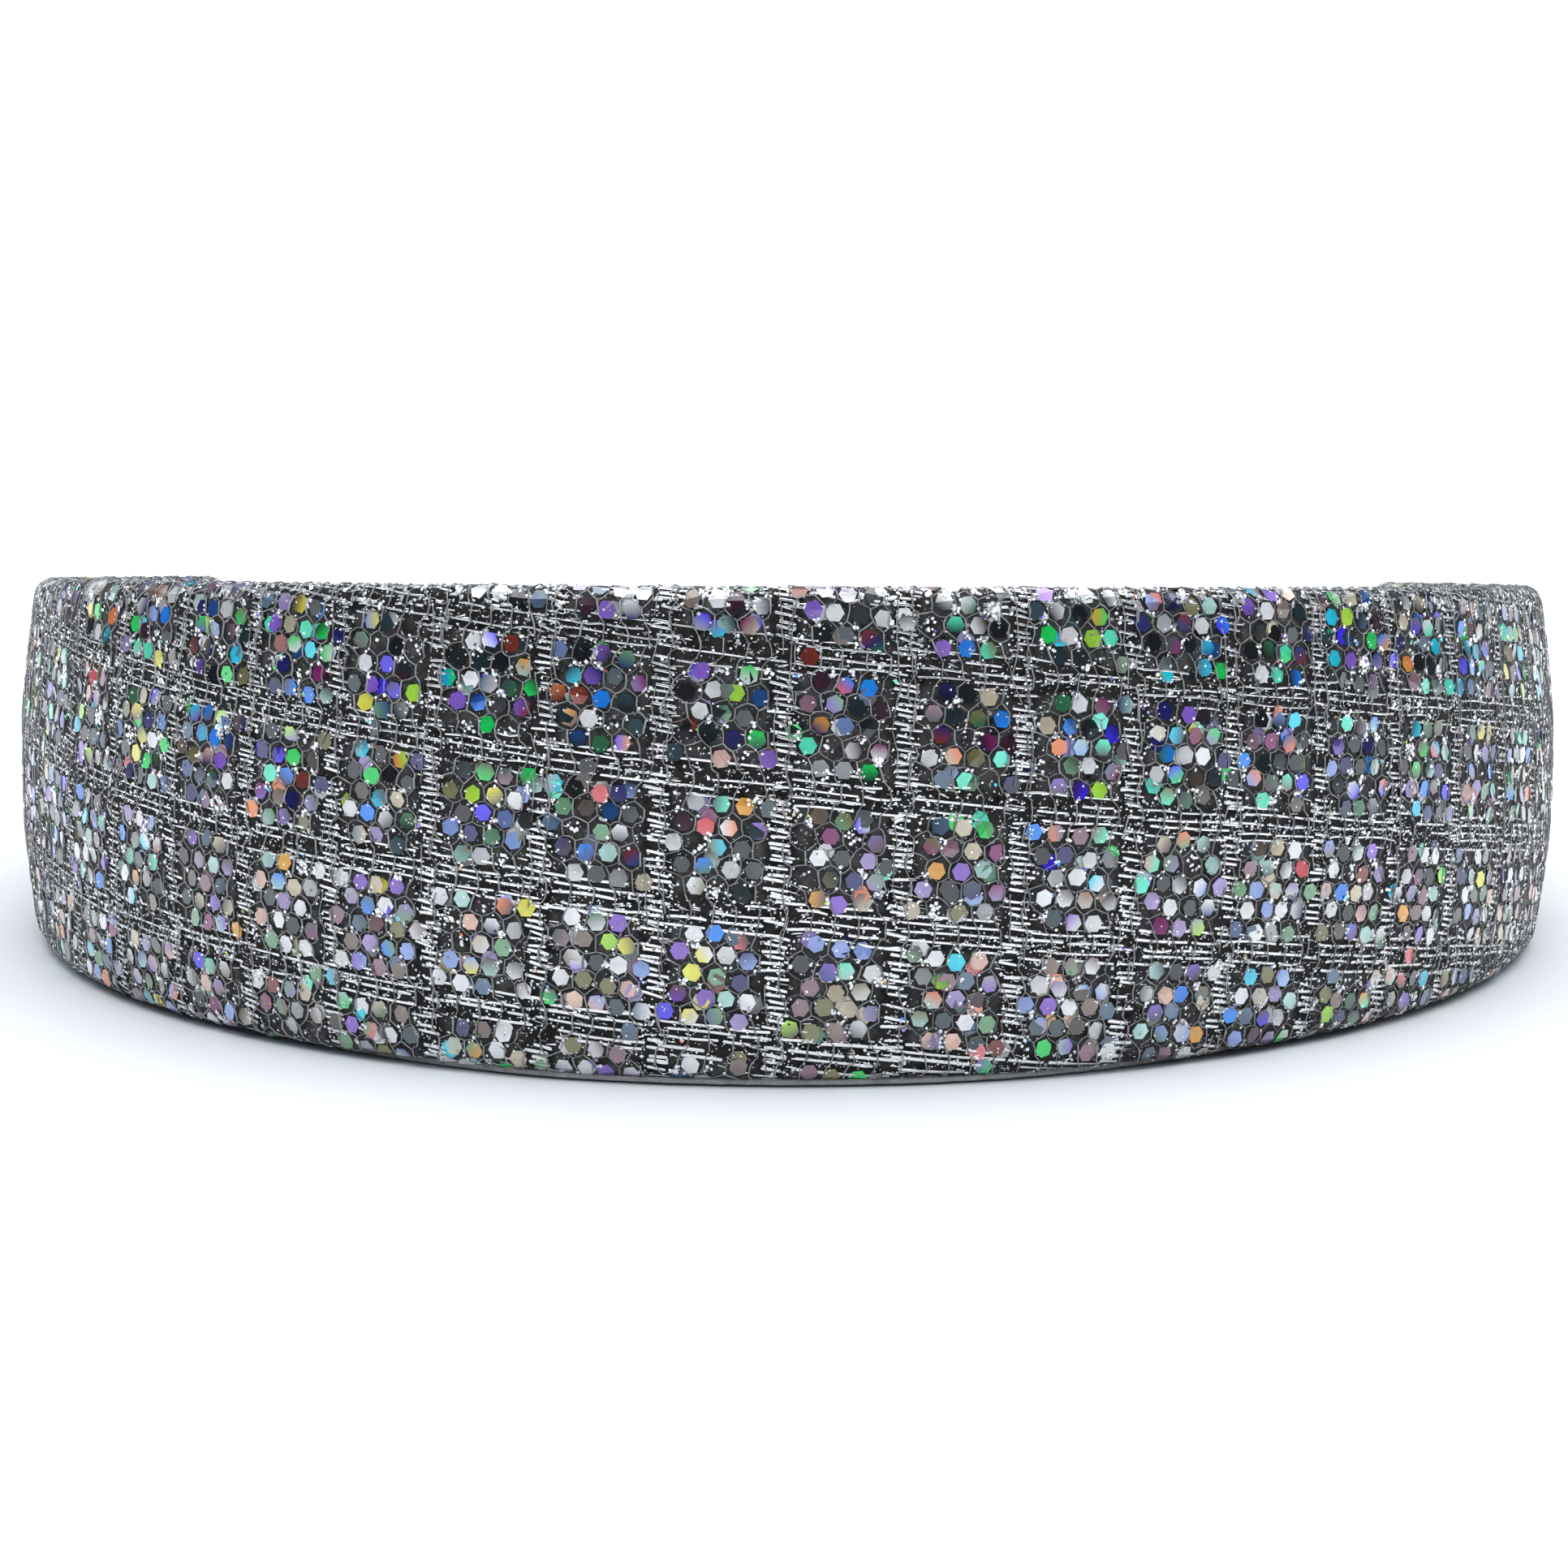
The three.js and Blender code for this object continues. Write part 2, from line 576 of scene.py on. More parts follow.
@dataclass(frozen=True)
class Band:
    """The bent, tapered and domed strip that every layer follows."""

    front: float
    crown_width: float = 40 * MM
    edge_taper: float = 0.123
    dome_rise: float = 1.55 * MM
    tip_corner: float = 9 * MM
    plan: tuple[Arc, ...] = (Arc(63 * MM, 32), Arc(77 * MM, 58), Arc(170 * MM, 20))

    @cached_property
    def half_length(self) -> float:
        """From the middle of the crown to a tip, along the outer face."""
        return sum(arc.radius * arc.sweep for arc in self.plan)

    @cached_property
    def lean(self) -> float:
        """How far the band's middle plane leans back when its lower edge lies level."""
        return math.atan(self.edge_taper / 2)

    @cached_property
    def front_bulge(self) -> float:
        """How far the leaning, domed face reaches in front of its middle line."""
        return (self.crown_width / 2 * math.sin(self.lean)) ** 2 / (4 * self.dome_rise)

    def follow(self, along: Array) -> tuple[Array, Array, Array, Array]:
        """Follows the outer face in plan.

        Args:
            along: distances from the middle of the crown.

        Returns:
            x and y there, and the x and y of the direction that faces out.
        """
        left = np.abs(along)
        heading = np.zeros_like(left)
        x = np.zeros_like(left)
        y = np.zeros_like(left)
        for arc in self.plan:
            turn = np.minimum(left / arc.radius, arc.sweep)
            x += arc.radius * (np.sin(heading + turn) - np.sin(heading))
            y += arc.radius * (np.cos(heading) - np.cos(heading + turn))
            heading += turn
            left = left - arc.radius * turn
        side = np.where(along < 0, -1.0, 1.0)
        return side * x, y, side * np.sin(heading), -np.cos(heading)

    def half_width(self, along: Array, inset: float, from_end: Array) -> Array:
        """Half the band's width.

        Args:
            along: distances from the middle of the crown.
            inset: how far below the outer face.
            from_end: distances from the end of the layer, where its corners are rounded.

        Returns:
            The half widths.
        """
        _, y, _, out_y = self.follow(along)
        into_corner = np.clip(self.tip_corner - from_end, 0.0, self.tip_corner)
        drop = self.tip_corner - np.sqrt(self.tip_corner**2 - into_corner**2)
        return (self.crown_width - self.edge_taper * (y - inset * out_y)) / 2 - drop

    def place(self, along: Array, depth: Array, height: Array) -> Array:
        """Takes points of the straight strip to the bent band.

        Args:
            along: distances from the middle of the crown.
            depth: distances below the outer face.
            height: distances above the strip's middle line.

        Returns:
            Points in the part's frame, with x, y and z along the last axis.
        """
        x, y, out_x, out_y = self.follow(along)
        full = (self.crown_width - self.edge_taper * y) / 2
        inset = depth + self.dome_rise * (height / full) ** 2
        x = x - inset * out_x
        y = y - inset * out_y
        cosine = math.cos(self.lean)
        sine = math.sin(self.lean)
        back = self.front + self.front_bulge
        level = self.crown_width / 2 * cosine
        leant_y = y * cosine + height * sine + back
        leant_z = height * cosine - y * sine + level
        return np.stack([x, leant_y, leant_z], axis=-1)


@dataclass(frozen=True)
class Layer:
    """One layer of the band, with both long edges and both tips rounded over."""

    band: Band
    depth: float
    thickness: float
    low_trim: float = 0.0
    high_trim: float = 0.0
    tip_trim: float = 0.0

    @property
    def roll(self) -> float:
        """The radius that the edges are rounded to."""
        return self.thickness / 2

    @property
    def half_length(self) -> float:
        """From the middle of the crown to the layer's end."""
        return self.band.half_length - self.tip_trim

    def face(self, along: Array) -> tuple[Array, Array]:
        """Where the outer face ends and the rolled edges begin.

        Args:
            along: distances from the middle of the crown.

        Returns:
            The lower and the upper end of the face, across the band.
        """
        edge_inset = self.depth + self.roll + self.band.dome_rise
        half = self.band.half_width(along, edge_inset, self.half_length - np.abs(along))
        return -half + self.low_trim + self.roll, half - self.high_trim - self.roll

    def skin(self, along: Array, across: Array, lift: Array) -> Array:
        """Takes cloth coordinates to the band, round both rolled edges and onto the back.

        Args:
            along: distances from the middle of the crown.
            across: distances over the cloth from the band's middle line.
            lift: distances off the cloth.

        Returns:
            Points in the part's frame.
        """
        past = np.abs(along) - (self.half_length - self.roll)
        tip_turn = np.clip(past / self.roll, 0.0, math.pi)
        round_tip = (self.roll + lift) * np.sin(tip_turn) - np.maximum(past - math.pi * self.roll, 0.0)
        along = np.sign(along) * (np.abs(along) - np.maximum(past, 0.0) + round_tip)
        low, high = self.face(along)
        radius = (self.roll + lift) * np.cos(tip_turn)
        beyond = np.maximum(across - high, low - across)
        turn = np.clip(beyond / self.roll, 0.0, math.pi)
        onto_back = np.maximum(beyond - math.pi * self.roll, 0.0)
        upper = across > high
        edge = np.where(upper, high, low)
        way = np.where(upper, 1.0, -1.0)
        rolled = edge + way * (radius * np.sin(turn) - onto_back)
        height = np.where(beyond > 0, rolled, across)
        return self.band.place(along, self.depth + self.roll - radius * np.cos(turn), height)

    def flat_area(self) -> float:
        """The area of the strip that the layer is cut to."""
        samples = 400
        along = np.linspace(-self.half_length, self.half_length, samples)
        low, high = self.face(along)
        width = high - low + 2 * self.roll
        return float((width[1:] + width[:-1]).mean() * self.half_length)

    def flat_size(self) -> tuple[float, float]:
        """The rectangle that the strip is cut from."""
        low, high = self.face(np.zeros(1))
        return 2 * self.half_length, float((high - low)[0]) + 2 * self.roll


@dataclass(frozen=True)
class RingSteps:
    """How many faces go round a layer's section."""

    face: int
    roll: int
    back: int

    @property
    def total(self) -> int:
        """All of them."""
        return self.face + 2 * self.roll + 2 * self.back


# How far a shell's faces go on past its end, in rolls, how much they crowd there, and the least step that
# tells one place round the section from the next
TIP_WRAP = 0.41
TIP_CROWDING = 0.12
LEAST_STEP = 1e-4

# Points that are nearer than this are one
MERGED = 0.002 * MM


def shell_mesh(name: str, layer: Layer, along_steps: int, ring: RingSteps) -> bpy.types.Object:
    """Makes a layer as one closed shell with a map that runs along and across it in metres.

    Args:
        name: the piece's name.
        layer: the layer that it follows.
        along_steps: faces along the band.
        ring: faces round its section.

    Returns:
        The new object.
    """
    shape = bmesh.new()
    bmesh.ops.create_grid(shape, x_segments=along_steps, y_segments=ring.total, size=1.0)
    grid = np.array([vert.co for vert in shape.verts])
    reach = layer.half_length + TIP_WRAP * layer.roll
    along = reach * (grid[:, 0] + TIP_CROWDING * np.sin(math.pi * grid[:, 0]))
    low, high = layer.face(along)
    middle = (low + high) / 2
    curl = math.pi * layer.roll
    back_low = middle + low - high - curl
    back_high = middle + high - low + curl
    knots = np.stack([back_low, low - curl, low, high, high + curl, back_high])
    counts = np.array([0, ring.back, ring.roll, ring.face, ring.roll, ring.back])
    position = (grid[:, 1] + 1) / 2 * ring.total
    stops = np.cumsum(counts)
    stretch = np.searchsorted(stops, position - LEAST_STEP, side="left") - 1
    stretch = np.clip(stretch, 0, len(counts) - 2)
    share = (position - stops[stretch]) / counts[stretch + 1]
    index = np.arange(len(position))
    across = knots[stretch, index] * (1 - share) + knots[stretch + 1, index] * share
    cloth = shape.loops.layers.uv.new(CLOTH_MAP)
    for face in shape.faces:
        for loop in face.loops:
            loop[cloth].uv = (along[loop.vert.index], across[loop.vert.index])
    for vert, point in zip(shape.verts, layer.skin(along, across, np.zeros_like(along))):
        vert.co = point
    return link_closed(name, shape)


def link(name: str, mesh: bpy.types.Mesh) -> bpy.types.Object:
    """Puts a mesh into the scene as an object at the origin."""
    piece = bpy.data.objects.new(name, mesh)
    bpy.context.scene.collection.objects.link(piece)
    return piece


def link_shape(name: str, shape: bmesh.types.BMesh) -> bpy.types.Object:
    """Puts a finished shape into the scene, and frees it."""
    mesh = bpy.data.meshes.new(name)
    shape.to_mesh(mesh)
    shape.free()
    return link(name, mesh)


def link_closed(name: str, shape: bmesh.types.BMesh) -> bpy.types.Object:
    """Closes a grid that has been rolled up, and puts it into the scene.

    Args:
        name: the piece's name.
        shape: the rolled grid, which is freed.

    Returns:
        The new object, shaded smooth but for the faces that close its ends.
    """
    bmesh.ops.remove_doubles(shape, verts=shape.verts, dist=MERGED)
    bmesh.ops.holes_fill(shape, edges=[edge for edge in shape.edges if edge.is_boundary], sides=0)
    bmesh.ops.recalc_face_normals(shape, faces=shape.faces)
    for face in shape.faces:
        face.smooth = len(face.verts) == 4
    return link_shape(name, shape)


# Small things that are laid on the cloth many times


@dataclass(frozen=True)
class Motif:
    """A small shape, made once, in units that each copy scales."""

    points: Array
    corners: Array
    sides: Array
    smooth: Array

    @classmethod
    def taken_from(cls, shape: bmesh.types.BMesh, smooth_sides: Sequence[int]) -> Motif:
        """Reads a finished shape and frees it.

        Args:
            shape: the shape.
            smooth_sides: how many sides the faces have that are shaded smooth.

        Returns:
            The motif.
        """
        shape.verts.index_update()
        points = np.array([vert.co for vert in shape.verts])
        corners = np.array([loop.vert.index for face in shape.faces for loop in face.loops])
        sides = np.array([len(face.verts) for face in shape.faces])
        shape.free()
        return cls(points, corners, sides, np.isin(sides, smooth_sides))

    @classmethod
    def flake(cls) -> Motif:
        """A thin hexagon with a point at the top and its face in six parts, so that it can be creased."""
        shape = bmesh.new()
        bmesh.ops.create_circle(shape, cap_ends=True, segments=6, radius=1.0)
        grown = bmesh.ops.extrude_face_region(shape, geom=shape.faces[:])["geom"]
        top = [part for part in grown if isinstance(part, bmesh.types.BMFace)]
        bmesh.ops.translate(shape, verts=top[0].verts, vec=(0, 0, 1))
        bmesh.ops.recalc_face_normals(shape, faces=shape.faces)
        bmesh.ops.poke(shape, faces=top)
        # Extruding leaves the sides in an order that changes from run to run
        shape.faces.sort(key=cls._order)
        return cls.taken_from(shape, ())

    @staticmethod
    def _order(face: bmesh.types.BMFace) -> float:
        """A number that grows up the flake, and round it at each height."""
        middle = face.calc_center_median()
        return 2 * FULL_TURN * middle.z + math.atan2(middle.x, middle.y)

    @classmethod
    def grain(cls, sides: int) -> Motif:
        """A low chip with a flat top and this many sides."""
        shape = bmesh.new()
        bmesh.ops.create_cone(shape, cap_ends=True, segments=sides, radius1=1.0, radius2=0.8, depth=1.0)
        return cls.taken_from(shape, ())

    @classmethod
    def _rod(cls, steps: int, sides: int) -> bmesh.types.BMesh:
        """A closed rod along X, from -1 to 1, with a radius of 1.

        Args:
            steps: faces along it.
            sides: faces round it.

        Returns:
            The shape.
        """
        shape = bmesh.new()
        bmesh.ops.create_cone(shape, cap_ends=True, segments=sides, radius1=1.0, radius2=1.0, depth=2.0)
        laid_down = Matrix.Rotation(math.pi / 2, 3, "Y")
        bmesh.ops.rotate(shape, verts=shape.verts, cent=(0, 0, 0), matrix=laid_down)
        lengthwise = [edge for edge in shape.edges if abs(edge.verts[0].co.x - edge.verts[1].co.x) > 1.0]
        bmesh.ops.subdivide_edges(shape, edges=lengthwise, cuts=steps - 1, use_grid_fill=True)
        bmesh.ops.recalc_face_normals(shape, faces=shape.faces)
        return shape

    @classmethod
    def thread(cls, steps: int, sides: int, dive: float) -> Motif:
        """A stretch of thread along X that dives into the cloth at both ends.

        Args:
            steps: faces along it.
            sides: faces round it.
            dive: the share of its half length in which each end goes down.

        Returns:
            A thread from -1 to 1, with a radius of 1.
        """
        end_size = 0.7
        end_drop = 0.9
        shape = cls._rod(steps, sides)
        last_ring = 1 - 2 / steps
        for vert in shape.verts:
            if abs(vert.co.x) > (1 + last_ring) / 2:
                vert.co.y *= end_size
                vert.co.z = end_size * vert.co.z - end_drop
            else:
                vert.co.x *= (1 - dive) / last_ring
        return cls.taken_from(shape, (4,))

    @classmethod
    def strand(cls) -> Motif:
        """A three-sided strand along X, in two parts so that it can bow."""
        return cls.taken_from(cls._rod(steps=2, sides=3), (4,))


@dataclass(frozen=True)
class Copies:
    """Where the copies of a motif go, in cloth coordinates, and their colours."""

    motif: Motif
    middle: Array
    axes: Array
    tint: Array
    shift: Array | float = 0.0

    @classmethod
    def laid(
        cls,
        motif: Motif,
        middle: Array,
        half_sizes: Array,
        turn: Array,
        tilt: Array,
        tint: Array,
    ) -> Copies:
        """Lays copies flat on the cloth.

        Args:
            motif: the shape.
            middle: along, across and lift of each copy.
            half_sizes: each copy's scale along X, Y and Z.
            turn: how far each is turned in the cloth, anticlockwise from along the band.
            tilt: how far each rises for a unit along its own X and Y.
            tint: a colour for each copy, or for each point of each copy.

        Returns:
            The copies.
        """
        cosine = np.cos(turn)
        sine = np.sin(turn)
        zero = np.zeros_like(turn)
        x_axis = np.stack([cosine, sine, tilt[:, 0]], axis=-1) * half_sizes[:, :1]
        y_axis = np.stack([-sine, cosine, tilt[:, 1]], axis=-1) * half_sizes[:, 1:2]
        z_axis = np.stack([zero, zero, zero + 1], axis=-1) * half_sizes[:, 2:]
        if tint.ndim == 2:
            tint = np.repeat(tint[:, None, :], len(motif.points), axis=1)
        return cls(motif, middle, np.stack([x_axis, y_axis, z_axis], axis=1), tint)

    def cloth_points(self) -> Array:
        """Every point of every copy, in cloth coordinates."""
        spread = np.einsum("vk,nkc->nvc", self.motif.points, self.axes)
        return self.middle[:, None, :] + spread + self.shift

    def bowed(self, bow: Array) -> Copies:
        """The same copies, the middle of each bowed sideways in the cloth by its own distance."""
        side = self.axes[:, 1] / np.linalg.norm(self.axes[:, 1], axis=1, keepdims=True)
        profile = bow[:, None] * (1 - self.motif.points[None, :, 0] ** 2)
        return replace(self, shift=profile[..., None] * side[:, None, :])


def laid_mesh(name: str, layer: Layer, groups: Sequence[Copies]) -> bpy.types.Object:
    """Joins copies of motifs into one mesh on a layer.

    Args:
        name: the piece's name.
        layer: the layer that they lie on.
        groups: the copies, one group for each motif.

    Returns:
        The new object, with a tint for each point and a map with a place of its own for each face.
    """
    points, tints, corners, sides, smooth = [], [], [], [], []
    start = 0
    for group in groups:
        motif = group.motif
        cloth = group.cloth_points()
        count = len(cloth)
        points.append(layer.skin(cloth[..., 0], cloth[..., 1], cloth[..., 2]).reshape(-1, 3))
        tints.append(group.tint.reshape(-1, 3))
        offsets = start + len(motif.points) * np.arange(count)[:, None]
        corners.append((motif.corners[None, :] + offsets).ravel())
        sides.append(np.tile(motif.sides, count))
        smooth.append(np.tile(motif.smooth, count))
        start += len(motif.points) * count
    mesh = bpy.data.meshes.new(name)
    fill_mesh(mesh, np.concatenate(points), np.concatenate(corners), np.concatenate(sides))
    mesh.polygons.foreach_set("use_smooth", np.concatenate(smooth))
    colours = np.ones((start, 4), np.float32)
    colours[:, :3] = np.concatenate(tints)
    mesh.attributes.new(TINT, "FLOAT_COLOR", "POINT").data.foreach_set("color", colours.ravel())
    places = bake_places(groups).astype(np.float32)
    mesh.uv_layers.new(name=BAKE_MAP).uv.foreach_set("vector", places.ravel())
    return link(name, mesh)


def fill_mesh(mesh: bpy.types.Mesh, points: Array, corners: Array, sides: Array) -> None:
    """Fills an empty mesh from arrays.

    Args:
        mesh: the mesh.
        points: its points.
        corners: the point at each corner of each face, face after face.
        sides: how many corners each face has.
    """
    mesh.vertices.add(len(points))
    mesh.vertices.foreach_set("co", points.astype(np.float32).ravel())
    mesh.loops.add(len(corners))
    mesh.loops.foreach_set("vertex_index", corners.astype(np.int32))
    mesh.polygons.add(len(sides))
    mesh.polygons.foreach_set("loop_start", (np.cumsum(sides) - sides).astype(np.int32))
    mesh.update(calc_edges=True)
    mesh.validate()


# Half the part of its square that a copy fills in the bake map, and how much its height spreads it
BAKE_HALF = 0.38
BAKE_SPREAD = 0.06


def bake_places(groups: Sequence[Copies]) -> Array:
    """Gives each copy a square of its own in a map, so that a bake keeps their colours apart.

    Args:
        groups: the copies, one group for each motif.

    Returns:
        The place of each corner of each face in the map.
    """
    across = math.ceil(math.sqrt(sum(len(group.middle) for group in groups)))
    places = []
    start = 0
    for group in groups:
        square = start + np.arange(len(group.middle))
        middle = np.stack([square % across, square // across], axis=-1) + 0.5
        spot = group.motif.points / np.abs(group.motif.points).max(axis=0)
        inside = spot[:, :2] * (BAKE_HALF + BAKE_SPREAD * spot[:, 2:])
        corners = middle[:, None, :] + inside[group.motif.corners]
        places.append(corners.reshape(-1, 2) / across)
        start += len(square)
    return np.concatenate(places)


# The cloth's pattern


@dataclass(frozen=True)
class Plaid:
    """Upright bars and level rows of tinsel, and the lattice of net cells between them."""

    bar_pitch: float = 9.70 * MM
    row_pitch: float = 10.50 * MM
    bar_offset: float = 0.84 * MM
    row_offset: float = 4.43 * MM
    bar_lean: float = 0.028
    row_fall: float = 0.103
    squeeze: float = 0.065
    stray: float = 0.105
    cells_per_bar: int = 5
    cells_per_row: int = 6
    reach: int = 20

    @property
    def numbers(self) -> Array:
        """The numbers of the bars, and of the rows, as far as the pattern reaches."""
        return np.arange(-self.reach, self.reach)

    @property
    def cell_columns(self) -> Array:
        """The numbers of the net's columns of cells."""
        return np.arange(-self.reach * self.cells_per_bar, self.reach * self.cells_per_bar)

    @property
    def cell_lines(self) -> Array:
        """The numbers of the net's lines of cells."""
        return np.arange(-self.reach * self.cells_per_row, self.reach * self.cells_per_row)

    def staggered(self, column: Array, line: Array) -> Array:
        """Where cells are, counted in bars: every other line is half a cell further along."""
        return (column + 0.5 * (line % 2)) / self.cells_per_bar

    def from_bar(self, bars: Array) -> Array:
        """How far places counted in bars are from the nearest bar."""
        return np.abs(bars - np.round(bars)) * self.bar_pitch

    def from_row(self, rows: Array) -> Array:
        """How far places counted in rows are from the nearest row."""
        return np.abs(rows - np.round(rows)) * self.row_pitch

    def to_cloth(self, bars: Array, rows: Array) -> tuple[Array, Array]:
        """Takes places counted in bars and rows to cloth coordinates.

        Args:
            bars: how many bars along.
            rows: how many rows up.

        Returns:
            Along and across.
        """
        squeeze = self.squeeze
        span = self.bar_offset + self.bar_pitch * (bars + squeeze * np.sin(FULL_TURN * bars) / FULL_TURN)
        rise = self.row_offset + self.row_pitch * (rows + squeeze * np.sin(FULL_TURN * rows) / FULL_TURN)
        along = (span + self.bar_lean * rise) / (1 + self.bar_lean * self.row_fall)
        return along, rise - self.row_fall * along

    def strewn(self, rng: np.random.Generator, in_rows: int, in_bars: int) -> tuple[Array, Array]:
        """Strews places over the tinsel.

        Args:
            rng: the random source.
            in_rows: how many lie along the rows, for each crossing of a bar and a row.
            in_bars: how many lie along the bars.

        Returns:
            The places, counted in bars and in rows.
        """
        periods = (2 * self.reach) ** 2
        near = rng.integers(-self.reach, self.reach, periods * (in_rows + in_bars))
        anywhere = rng.uniform(-self.reach, self.reach, len(near))
        near = near + rng.normal(0, self.stray, len(near))
        in_row = np.arange(len(near)) < periods * in_rows
        return np.where(in_row, anywhere, near), np.where(in_row, near, anywhere)


@dataclass(frozen=True)
class Ground:
    """The part of the cloth that things may lie on."""

    layer: Layer
    over_top: float = 4.7 * MM
    under_bottom: float = 1.75 * MM
    round_tip: float = 4.4 * MM
    round_corner: float = 1.2 * MM

    def holds(self, along: Array, across: Array) -> Array:
        """Says which places are on the cloth.

        Args:
            along: distances along.
            across: distances across.

        Returns:
            True for each place that is.
        """
        low, high = self.layer.face(along)
        on_face = (across > low) & (across < high)
        past = np.abs(along) - (self.layer.half_length - self.layer.roll)
        inside = past < np.where(on_face, self.round_tip, self.round_corner)
        return inside & (across < high + self.over_top) & (across > low - self.under_bottom)

    def holds_both(self, start: Array, end: Array) -> Array:
        """Says which threads have both ends on the cloth."""
        return self.holds(start[:, 0], start[:, 1]) & self.holds(end[:, 0], end[:, 1])

    def height(self, along: Array, across: Array) -> Array:
        """How far up the face each place is, from 0 at its lower end to 1 at its upper."""
        low, high = self.layer.face(along)
        return np.clip((across - low) / (high - low), 0.0, 1.0)


@dataclass(frozen=True)
class Cells:
    """The net's cells that lie on the cloth, each with its distance from the nearest bar and row."""

    along: Array
    across: Array
    from_bar: Array
    from_row: Array
    clear_of_bar: float = 1.2 * MM
    clear_of_row: float = 1.3 * MM

    @property
    def between_rows(self) -> Array:
        """Says which cells are clear of the rows of tinsel."""
        return self.from_row > self.clear_of_row

    @property
    def in_block(self) -> Array:
        """Says which cells are clear of the rows and the bars."""
        return self.between_rows & (self.from_bar > self.clear_of_bar)

    @classmethod
    def find(cls, plaid: Plaid, ground: Ground) -> Cells:
        """Lists the cells.

        Args:
            plaid: the pattern.
            ground: the cloth.

        Returns:
            The cells whose middle is on the cloth.
        """
        grid = np.meshgrid(plaid.cell_columns, plaid.cell_lines)
        column, line = (part.ravel() for part in grid)
        bars = plaid.staggered(column, line)
        rows = line / plaid.cells_per_row
        along, across = plaid.to_cloth(bars, rows)
        kept = ground.holds(along, across)
        return cls(along[kept], across[kept], plaid.from_bar(bars)[kept], plaid.from_row(rows)[kept])


# Sub-assemblies


@dataclass
class Cover:
    """The glitter cloth, drawn over the band and rolled round its edges."""

    layer: Layer
    plaid: Plaid
    along_steps: int = 300
    ring: RingSteps = RingSteps(face=24, roll=8, back=6)

    def build(self) -> bpy.types.Object:
        """Builds and dresses the cloth."""
        piece = shell_mesh("cloth_cover", self.layer, self.along_steps, self.ring)
        return dress(piece, GroundCloth(self.plaid).material(), "cover")


@dataclass
class Lining:
    """The felt against the head."""

    layer: Layer
    along_steps: int = 240
    ring: RingSteps = RingSteps(face=14, roll=5, back=7)

    def build(self) -> bpy.types.Object:
        """Builds and dresses the felt."""
        piece = shell_mesh("felt_lining", self.layer, self.along_steps, self.ring)
        return dress(piece, FELT.material(), "lining")


@dataclass
class Lip:
    """The felt's soft lower edge, which swells forward below the cloth and goes back towards the tips."""

    layer: Layer
    front: float = 0.35 * MM
    rise: float = 0.56 * MM
    fades_from: float = 14 * MM
    fades_to: float = 52 * MM
    ends_at: float = 120 * MM
    along_steps: int = 300
    ring_steps: int = 14
    bluntness: float = 0.5
    wander: float = 0.05 * MM
    seed: int = 5

    def build(self) -> bpy.types.Object:
        """Builds the lip as a closed strip and dresses it."""
        shape = bmesh.new()
        bmesh.ops.create_grid(shape, x_segments=self.along_steps, y_segments=self.ring_steps, size=1.0)
        grid = np.array([vert.co for vert in shape.verts])
        along = self.ends_at * grid[:, 0]
        angle = math.pi * grid[:, 1]
        fade = np.clip((np.abs(along) - self.fades_from) / (self.fades_to - self.fades_from), 0, 1)
        back = self.layer.depth + self.layer.thickness / 2
        front = self.front + (self.layer.depth - self.front) * fade**2 * (3 - 2 * fade)
        uneven = np.random.default_rng(self.seed).normal(0, self.wander, self.along_steps + 1)
        uneven = np.interp(grid[:, 0], np.linspace(-1, 1, self.along_steps + 1), uneven)
        forward = self._blunted(np.cos(angle))
        faces_out = forward > 0.5
        depth = (front + back) / 2 - (back - front) / 2 * forward + uneven * faces_out
        swell = self._blunted(np.sin(angle))
        height = self.layer.face(along)[0] - self.layer.roll + self.rise / 2 * (1 + swell)
        for vert, point in zip(shape.verts, self.layer.band.place(along, depth, height)):
            vert.co = point
        # The lip wears the lighter felt, painted light against the shade under the cloth.
        return dress(link_closed("felt_lip", shape), FELT_EDGE_PAINTED_LIGHT.material())

    def _blunted(self, wave: Array) -> Array:
        """Makes a round section's sine or cosine that of a blunter one."""
        return np.sign(wave) * np.abs(wave) ** self.bluntness


